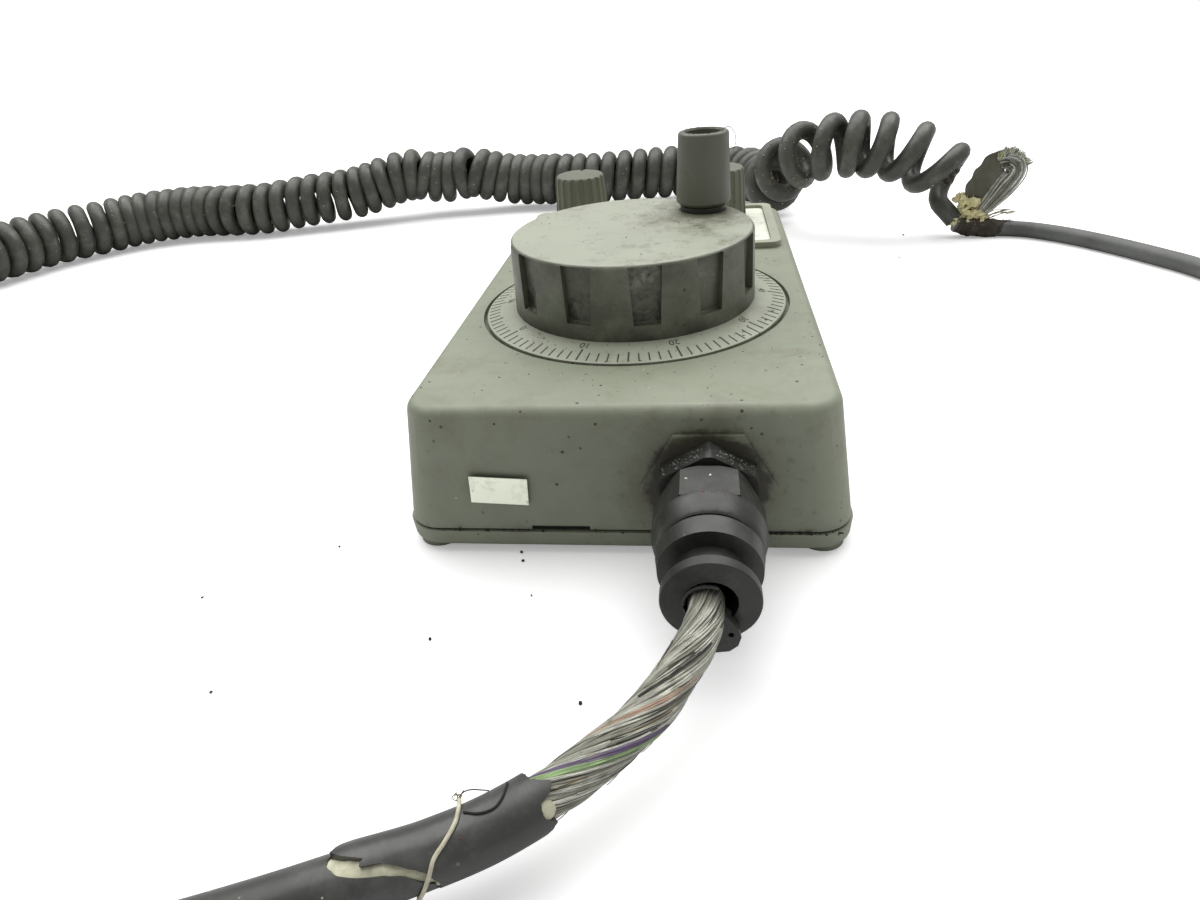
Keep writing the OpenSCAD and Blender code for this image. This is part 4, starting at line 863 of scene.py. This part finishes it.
start = math.atan2(TAB[0][1] - HOLE_Z, TAB[0][0] - HOLE_X)
turned = [start - 2 * math.pi * k / HOLE_SIDES for k in range(HOLE_SIDES)]
hole = [(HOLE_X + HOLE_R * math.cos(a), HOLE_Z + HOLE_R * math.sin(a)) for a in turned]
mouth_y = boot_low[1]
root_line = np.array([(20.6, mouth_y - 1.6, 15.5), (21.0, mouth_y + 0.4, 15.8)])
torn_tab = piece("boot_torn_tab", [
    (slab(TAB, hole, mouth_y - 2.6, mouth_y - 1.2), nylon_mat), (tube(root_line, 1.3, 10), nylon_mat),
], "root", "black_nylon")
angles = [math.radians(62 + 125 * k / 29) for k in range(30)]
lip = [(gland_x - 0.5 + 4.1 * math.cos(a), mouth_y - 0.1, gland_z - 0.1 + 3.9 * math.sin(a)) for a in angles]
lip_shape = tube(np.array(lip), np.r_[0.06, np.full(28, 0.34), 0.06], 8)
piece("boot_bore_lip", [(lip_shape, lip_mat)], "root", "black_nylon")

# ---------------- the curly part, and the tail with its stored coil
# the curl begins inside the lead's last few millimetres, so that the two are one cable
curly_line = smooth_route([*lead_line[[-9, -5]], *helix(CURL_ROUTE)[1:]], CURL_STEP)
curly = piece("cable_curly", [(tube(curly_line, CURLY_D / 2, CORD_SIDES), curly_mat)], *CABLE)
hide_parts("curly_cord")

tail_line = smooth_route(TAIL_ROUTE + coil_turns()[6:-6:5].tolist() + PLUG_LEAD_ROUTE, TAIL_STEP)
tail = piece("cable_tail", [(tube(tail_line, TAIL_D / 2, CORD_SIDES), tail_mat)], *CABLE)
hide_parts("tail_cord", "tail_coil", "plug_lead")

# ---------------- where the curly part's jacket is torn from the tail
STUB_SIDES, STUB_BORE, STUB_LOWEST = 40, 3.3, 0.12
_, at_tail = round_line(tail_line[:30], upright_frames(tail_line[:30]))
curl_end = curly_line[-16:]
_, at_curl_end = round_line(curl_end, carried_frames(curl_end))


def ragged_r(s, a):
    """Outer radius of the torn end of the tail's jacket."""
    swell = min(max((23 - s) / 9, 0), 1) * min(1.0, 0.2 + s / 8)
    return 3.55 + swell * (0.55 + 0.3 * math.sin(3 * a + 0.9 * s) + 0.16 * math.sin(7 * a - 1.7 * s))


def curl_stub_r(s, a):
    """Outer radius of the torn end of the curly part's jacket."""
    return 3.95 + 0.22 * math.sin(3 * a + 1.3 * s) + 0.12 * math.sin(8 * a - 2 * s)


def random_way(source):
    """A random way out of a point, of uneven length."""
    return np.array([source.gauss(0, 1) for _ in range(3)])


def hairs(places, count, length, thickness, source):
    """Short curved fibres that stand out of balls given as ((x, y, z), radius)."""
    made = []
    for _ in range(count):
        at, r = source.choice(places)
        out = unit(random_way(source))
        bend = np.array([source.gauss(0, 0.6) for _ in range(3)])
        long = source.uniform(*length)
        root, way = np.array(at) + 0.7 * r * out, out + np.array([0, 0, 0.4])
        line = np.array([root + way * long * t + bend * long * t * t * 0.8 for t in (0, 0.3, 0.6, 1.0)])
        line[:, 2] = np.maximum(line[:, 2], 0.2)
        made.append(tube(line, np.array([1, 1, 0.8, 0.3]) * thickness, 3))
    return made


def ribbon(points, across, thick):
    """A hollow strip that follows points with its broad side to the front."""
    line = smooth_route(points, 0.6)
    way = unit(np.gradient(line, axis=0))
    wide = unit(np.cross(way, [0.1, -0.86, 0.5]))
    normal = np.cross(wide, way)
    n, m = len(line), 9
    corners, faces = [], []
    for side in (0, 1):
        for i in range(n):
            narrow = min(1.0, 0.4 + 0.05 * i, 0.4 + 0.07 * (n - 1 - i))
            half = across / 2 * (1 + 0.07 * math.sin(0.7 * i)) * narrow
            for q in np.linspace(-1, 1, m):
                dent = 1.3 * (1 - q * q) - 0.15 * math.sin(5 * q + 0.8 * i)
                corners.append(line[i] + wide[i] * half * q + normal[i] * (thick * side - dent))
        for i in range(n - 1):
            for a in range(side * n * m + i * m, side * n * m + i * m + m - 1):
                face = (a, a + 1, a + m + 1, a + m)
                faces.append(face if side else face[::-1])
    ridge = [i * m for i in range(n)] + [(n - 1) * m + j for j in range(1, m)]
    ridge += [i * m + m - 1 for i in range(n - 2, -1, -1)] + list(range(m - 2, 0, -1))
    for a, b in zip(ridge, ridge[1:] + ridge[:1]):
        faces.append((a, b, b + n * m, a + n * m))
    return np.array(corners), faces, None


rnd = random.Random(19)
tail_starts = torn_edge([(0, 2.0), (90, 1.2), (180, 0.8), (270, 1.6)], 0.4, rnd, STUB_SIDES)
tail_ends = torn_edge([(0, 22), (60, 20), (150, 18), (220, 19), (300, 24), (330, 26)], 0.9, rnd, STUB_SIDES)
crust = [(at_tail(rnd.uniform(9, 24), rnd.uniform(3.6, 4.3), rnd.uniform(-1.9, 1.2)), rnd.uniform(0.15, 0.5))
         for _ in range(70)]
curl_starts = torn_edge([(0, 5), (90, 9), (180, 3), (270, 7)], 0.9, rnd, STUB_SIDES)
curl_ends = torn_edge([(0, 17), (90, 14), (180, 20), (270, 16)], 1.0, rnd, STUB_SIDES)
stub = [
    (sleeve(at_tail, tail_starts, tail_ends, ragged_r, lambda s, a: STUB_BORE, 30, STUB_LOWEST), torn_mat),
    (sleeve(at_curl_end, curl_starts, curl_ends, curl_stub_r, lambda s, a: 3.4, 18, STUB_LOWEST), torn_mat),
]
joint_pieces = [
    piece("joint_torn_stub", stub, *CABLE),
    crumbs("joint_crust", *zip(*crust), torn_crumb_mat, *CABLE, 11),
]

TUFTS = [
    ((137.8, 149, 5.6), 3.0), ((131.4, 148.6, 7.0), 2.4), ((134.8, 150, 12.6), 3.3),
    ((132.6, 150.2, 16.4), 2.6), ((137.6, 150, 14.6), 2.5), ((139.5, 149.2, 9.6), 3.4),
    ((136.2, 149.0, 8.4), 2.8), ((142.5, 148.6, 7.6), 2.4),
]
balls = []
for at, r in TUFTS:
    for _ in range(26):
        out = random_way(rnd)
        out *= r * rnd.uniform(0.35, 0.9) / np.linalg.norm(out)
        balls.append((np.array(at) + out, rnd.uniform(0.9, 2.0)))
joint_pieces.append(crumbs("joint_fluff", *zip(*balls), tuft_mat, *CABLE, 12))
hair = [(h, tuft_mat) for h in hairs(TUFTS, 240, (0.8, 2.6), 0.13, rnd)]
for k in range(9):
    spread = rnd.uniform(-1.2, 1.2)
    tip = np.array([155.5 + rnd.uniform(-3, 1.5), 149.5 + spread, 10.3 + rnd.uniform(-1.4, 1.2)])
    root = np.array([143.5 + rnd.uniform(-1.5, 2.5), 148.8 + 0.5 * spread, 7.6 + rnd.uniform(-0.6, 0.6)])
    middle = (root + tip) / 2 + np.array([rnd.uniform(-1, 1), 0, rnd.uniform(0.3, 1.5)])
    shape = tube(smooth_route([root, middle, tip], 0.8), rnd.uniform(0.10, 0.22), 4)
    hair.append((shape, rnd.choice([tuft_mat, thread_mat, fluff_mat])))
joint_pieces.append(piece("joint_fibres", hair, *CABLE))

LOBE = [
    (139.8, 149.5, 9.2), (137.7, 149.8, 14), (138.3, 150, 20), (141.2, 150.3, 26.3), (145.4, 150.8, 31.4),
    (150, 151, 33.6),
]
joint_pieces.append(piece("joint_shield_strip", [(ribbon(LOBE, 9.6, 0.6), strip_mat)], *CABLE))

# the arch of loose wires: places along it, the way across it in x and z at each, and how far it spreads there
ARCH = [
    ((141.6, 149.4, 9.5), (0.72, -0.69), 0.5), ((146.2, 149.6, 15), (0.75, -0.66), 0.85),
    ((150.6, 149.9, 20.6), (0.86, -0.5), 1.0), ((154.0, 150.3, 26.4), (0.98, 0.0), 1.05),
    ((153.4, 150.6, 30.8), (0.6, 0.8), 0.95), ((149.8, 150.8, 32.8), (0.1, 1.0), 0.8),
    ((146, 151, 32.6), (-0.3, 0.95), 0.7),
]
wires = []
for k in range(170):
    across, through = rnd.uniform(-2.4, 2.4), rnd.uniform(-5.6, 3.2)
    line = []
    for (x, y, z), (a, b), spread in ARCH:
        shake = rnd.uniform(-0.25, 0.25), rnd.uniform(-0.2, 0.2), rnd.uniform(-0.2, 0.2)
        line.append((x + a * through * spread + shake[0], y + across * spread + shake[1],
                     z + b * through * spread + shake[2]))
    last = rnd.randrange(5, 8)
    material = rnd.choice([silver_mat, silver_mat, silver_mat, braid_mat, braid_pale_mat, braid_dark_mat])
    wires.append((tube(smooth_route(line[:last], 0.9), rnd.uniform(0.20, 0.36), 5), material))
for k in range(230):
    t = rnd.random()
    base = np.array([144.5 + 12.5 * t, 150.8, 32.4 + 3.4 * math.sin(math.pi * min(1, t * 1.1)) - 2.2 * t])
    base += np.array([0, rnd.uniform(-2.8, 2.8), rnd.uniform(-0.8, 0.3)])
    stray = [rnd.uniform(-1.1, 1.0) + 1.6 * t, rnd.uniform(-0.8, 0.8), rnd.uniform(1.2, 3.4) - 0.8 * t]
    tip = base + np.array(stray)
    material = rnd.choice([
        braid_pale_mat, silver_mat, braid_mat, tuft_mat, green_mat, violet_mat, thread_mat, braid_mat,
    ])
    wires.append((tube(np.array([base, (base + tip) / 2 + 0.1, tip]), [0.24, 0.22, 0.08], 3), material))
joint_pieces.append(piece("joint_shield_wires", wires, *CABLE))


# ---------------- crumbs of dirt
def on_hex_flat(source):
    """A place on one of the two upper flats of the gland's hexagonal body."""
    t = source.uniform(0.08, 0.95)
    side = source.choice((-1, 1))
    x = gland_x + side * t * (hex_high[0] - hex_low[0]) / 2
    return (x, source.uniform(-82.6, -79.2), hex_high[2] - t * (hex_high[2] - hex_low[2]) / 4 + 0.04)


def on_split(source):
    """A place on the line between the covers, mostly to the right of the gland."""
    x = source.choice((source.uniform(28, 47), source.uniform(28, 47), source.uniform(-44, 8)))
    return (x, cover_low[1] - 0.02 + 0.1 * abs(source.gauss(0, 1)), cover_low[2] + source.uniform(-0.4, 0.3))


def on_dial(source):
    r, a = source.uniform(31.6, 38.4), math.radians(source.triangular(150, 390, 235))
    return round_at(wheel_at, r, a, ring_z(r) + 0.03)


def in_recess(source):
    r, a = source.uniform(39.1, 39.8), math.radians(source.uniform(160, 380))
    return round_at(wheel_at, r, a, top_z - 0.1)


def on_cover(source):
    while True:
        x, y = source.uniform(-44, 44), source.uniform(-70, 20)
        if math.hypot(x - wheel_at[0], y - wheel_at[1]) > 41:
            return (x, y, top_z + 0.02)


def on_wheel(source):
    r, a = (wheel_r - 1.6) * math.sqrt(source.random()), source.uniform(0, 6.28)
    return round_at(wheel_at, r, a, wheel_high[2] + 0.01)


def round_curls(source, low, high):
    """A place on the far half of the curly cable, between two places across the scene."""
    while True:
        k = source.randrange(1, len(curly_line) - 1)
        if low < curly_line[k][0] < high and curly_line[k][1] > 140:
            out = np.array([source.gauss(0, 1), source.gauss(-0.5, 1), source.gauss(0.6, 1)])
            way = curly_line[k + 1] - curly_line[k - 1]
            out -= way * (out @ way) / (way @ way)
            return curly_line[k] + out / np.linalg.norm(out) * (CURLY_D / 2 + 0.05)


def on_climb(source):
    return round_curls(source, 44, 72)


def on_curls(source):
    return round_curls(source, -350, 130)


def on_collar(source):
    """A place on top of the collar between the gland's nut and its boot."""
    a = math.radians(90 + source.uniform(-24, 24))
    r = (nut_high[0] - nut_low[0]) / 2
    return (gland_x + r * math.cos(a), source.uniform(-95.6, -93.6), gland_z + r * math.sin(a))


# place of the painted glint on the nut's top
def on_nut(source):
    return (gland_x + 0.2, nut_high[1] - 5.2, nut_high[2] + 0.02)


def on_lead(source):
    return at_lead(55.4, LEAD_D / 2 + 0.05, math.radians(332))


def on_grip_rim(source):
    a, r = source.uniform(0, 6.28), source.uniform(4.9, 6.0)
    return round_at(crank_at, r, a, grip_high[2] + 0.02)


# places for pale specks along the pockets' sills, which stand in for glints: painted highlights
def on_sill(source):
    a, r = source.uniform(0, 6.28), source.uniform(wheel_r - 1.9, wheel_r - 0.9)
    return round_at(wheel_at, r, a, wheel_low[2] + 3.75)


CRUMBS = [
    ("gland_crust", 170, on_hex_flat, (0.08, 0.26), crust_mat, "root", "black_nylon"),
    ("split_line_crust", 70, on_split, (0.06, 0.40), dark_debris_mat, "root", "cover_plastic"),
    ("dial_crumbs", 70, on_dial, (0.06, 0.17), dark_debris_mat, "wheel", "dial_plastic"),
    ("recess_crumbs", 60, in_recess, (0.08, 0.24), fluff_mat, "root", "cover_plastic"),
    ("cover_crumbs", 46, on_cover, (0.06, 0.18), dark_debris_mat, "root", "cover_plastic"),
    ("wheel_crumbs", 40, on_wheel, (0.05, 0.16), dark_debris_mat, "wheel", "wheel_plastic"),
    ("curly_debris", 260, on_climb, (0.15, 0.55), debris_mat, *CABLE),
    ("curly_dust", 200, on_curls, (0.12, 0.32), thread_mat, *CABLE),
    ("collar_paint_specks", 14, on_collar, (0.07, 0.14), red_mat, "root", "black_nylon"),
    # a pale blob on the nut's top as a painted glint
    ("nut_painted_glint", 1, on_nut, (0.26, 0.26), glint_mat, "root", "black_nylon"),
    ("lead_paint_speck", 1, on_lead, (0.2, 0.2), red_mat, *CABLE),
    ("grip_rim_crumbs", 26, on_grip_rim, (0.08, 0.22), dark_debris_mat, "crank", "wheel_plastic"),
    # pale specks on the sills as painted glints
    ("sill_painted_glints", 150, on_sill, (0.08, 0.20), thread_mat, "wheel", "wheel_plastic"),
]
rnd = random.Random(41)
for seed, (name, count, place, sizes, material, body, slot) in enumerate(CRUMBS, 21):
    at = [place(rnd) for _ in range(count)]
    crumbs(name, at, [rnd.uniform(*sizes) for _ in at], material, body, slot, seed)
HAIR = [(4.6, -1.5, 0.2), (6.2, -1.9, 0.9), (7.6, -2.2, -0.4), (8.0, -2.6, -2.6), (7.5, -2.9, -4.6)]
rim_hair = smooth_route([(crank_at[0] + x, crank_at[1] + y, grip_high[2] + z) for x, y, z in HAIR], 0.5)
piece("grip_hair", [(tube(rim_hair, 0.09, 4), fluff_mat)], "crank", "wheel_plastic")

at_lead(0.5, 0, 0) * MM

# ---------------- floor, light and camera
FLOOR_GLOW, FLOOR_HALF = 0.30, 4.0


def stage_material(name, bounced):
    """A white floor: shaded round the object, plain white further off, and duller as the object sees it."""
    s = Shader(name, 0.9)
    camera_ray = s.add("ShaderNodeLightPath").outputs["Is Camera Ray"]
    x, y, _ = s.parts()
    far = s.span(s.length(x, y, 0.0), 0.42, 0.75)
    near = s.mix(far, (1.0, 1.0, 1.0), (0.0, 0.0, 0.0))
    glow = s.times(camera_ray, s.span(far, 0, 1, FLOOR_GLOW, 1.0))
    s.set(s.out, {"Specular IOR Level": 0.0, "Emission Color": (1, 1, 1), "Emission Strength": glow})
    return s.finish(s.mix(camera_ray, (bounced,) * 3, near))


mesh = bpy.data.meshes.new("floor")
mesh.from_pydata([(x * FLOOR_HALF, y * FLOOR_HALF, 0) for x, y in ((-1, -1), (1, -1), (1, 1), (-1, 1))],
                 [], [(0, 1, 2, 3)])
mesh.materials.append(stage_material("pale floor", 0.78))
floor = show("floor", mesh)
GRIT = [
    (-23, -78, 0.5), (-36, -105, 0.35), (-74, -120, 0.3), (-4, -119, 0.45), (-91, -95, 0.3), (-67, -77, 0.3),
    (111, 154, 0.5), (102, 121, 0.4), (-22, -81, 0.4), (-18, -92, 0.3),
]
grit = crumbs("floor_grit", [(x, y, 0.25) for x, y, _ in GRIT], [r for _, _, r in GRIT], dark_debris_mat,
              None, None, 3)

lamp = bpy.data.lights.new("overhead", "AREA")
lamp.shape, lamp.size, lamp.size_y, lamp.energy = "RECTANGLE", 2.3, 1.4, 30.0
overhead = bpy.data.objects.new("overhead", lamp)
overhead.location = (-0.05, 0.50, 1.2)
aim = Vector((0.0, 0.05, 0.0)) - Vector((-0.05, 0.50, 1.2))
overhead.rotation_euler = aim.to_track_quat("-Z", "Y").to_euler()
bpy.context.scene.collection.objects.link(overhead)

world = bpy.data.worlds.new("white studio")
bpy.context.scene.world = world
world.use_nodes = True
sky = Nodes(world.node_tree)
ray = sky.add("ShaderNodeLightPath").outputs
seen = sky.math("MAXIMUM", ray["Is Camera Ray"], ray["Is Transmission Ray"])
seen = sky.math("MAXIMUM", seen, sky.times(ray["Is Glossy Ray"], 0.35))
level = sky.span(seen, 0.0, 1.0, 0.29, 1.0)
sky.set(world.node_tree.nodes["Background"], {"Color": (1, 1, 1), "Strength": level})

camera_data = bpy.data.cameras.new("camera")
camera_data.sensor_width, camera_data.lens = 36.0, 22.338
camera_data.clip_start, camera_data.clip_end = 0.005, 20.0
camera = bpy.data.objects.new("camera", camera_data)
pitch, yaw, roll = math.radians(31.52), math.radians(-8.97), math.radians(-4.92)
forward = Vector((math.sin(yaw) * math.cos(pitch), math.cos(yaw) * math.cos(pitch), -math.sin(pitch)))
level_right = Vector((math.cos(yaw), -math.sin(yaw), 0))
level_up = level_right.cross(forward)
right = level_right * math.cos(roll) + level_up * math.sin(roll)
up = level_up * math.cos(roll) - level_right * math.sin(roll)
view = Matrix((right, up, -forward)).transposed().to_4x4()
view.translation = Vector((17.0, -205.5, 106.4)) * MM
camera.matrix_world = view
bpy.context.scene.collection.objects.link(camera)
bpy.context.scene.camera = camera
bpy.context.scene.view_settings.view_transform = "Standard"
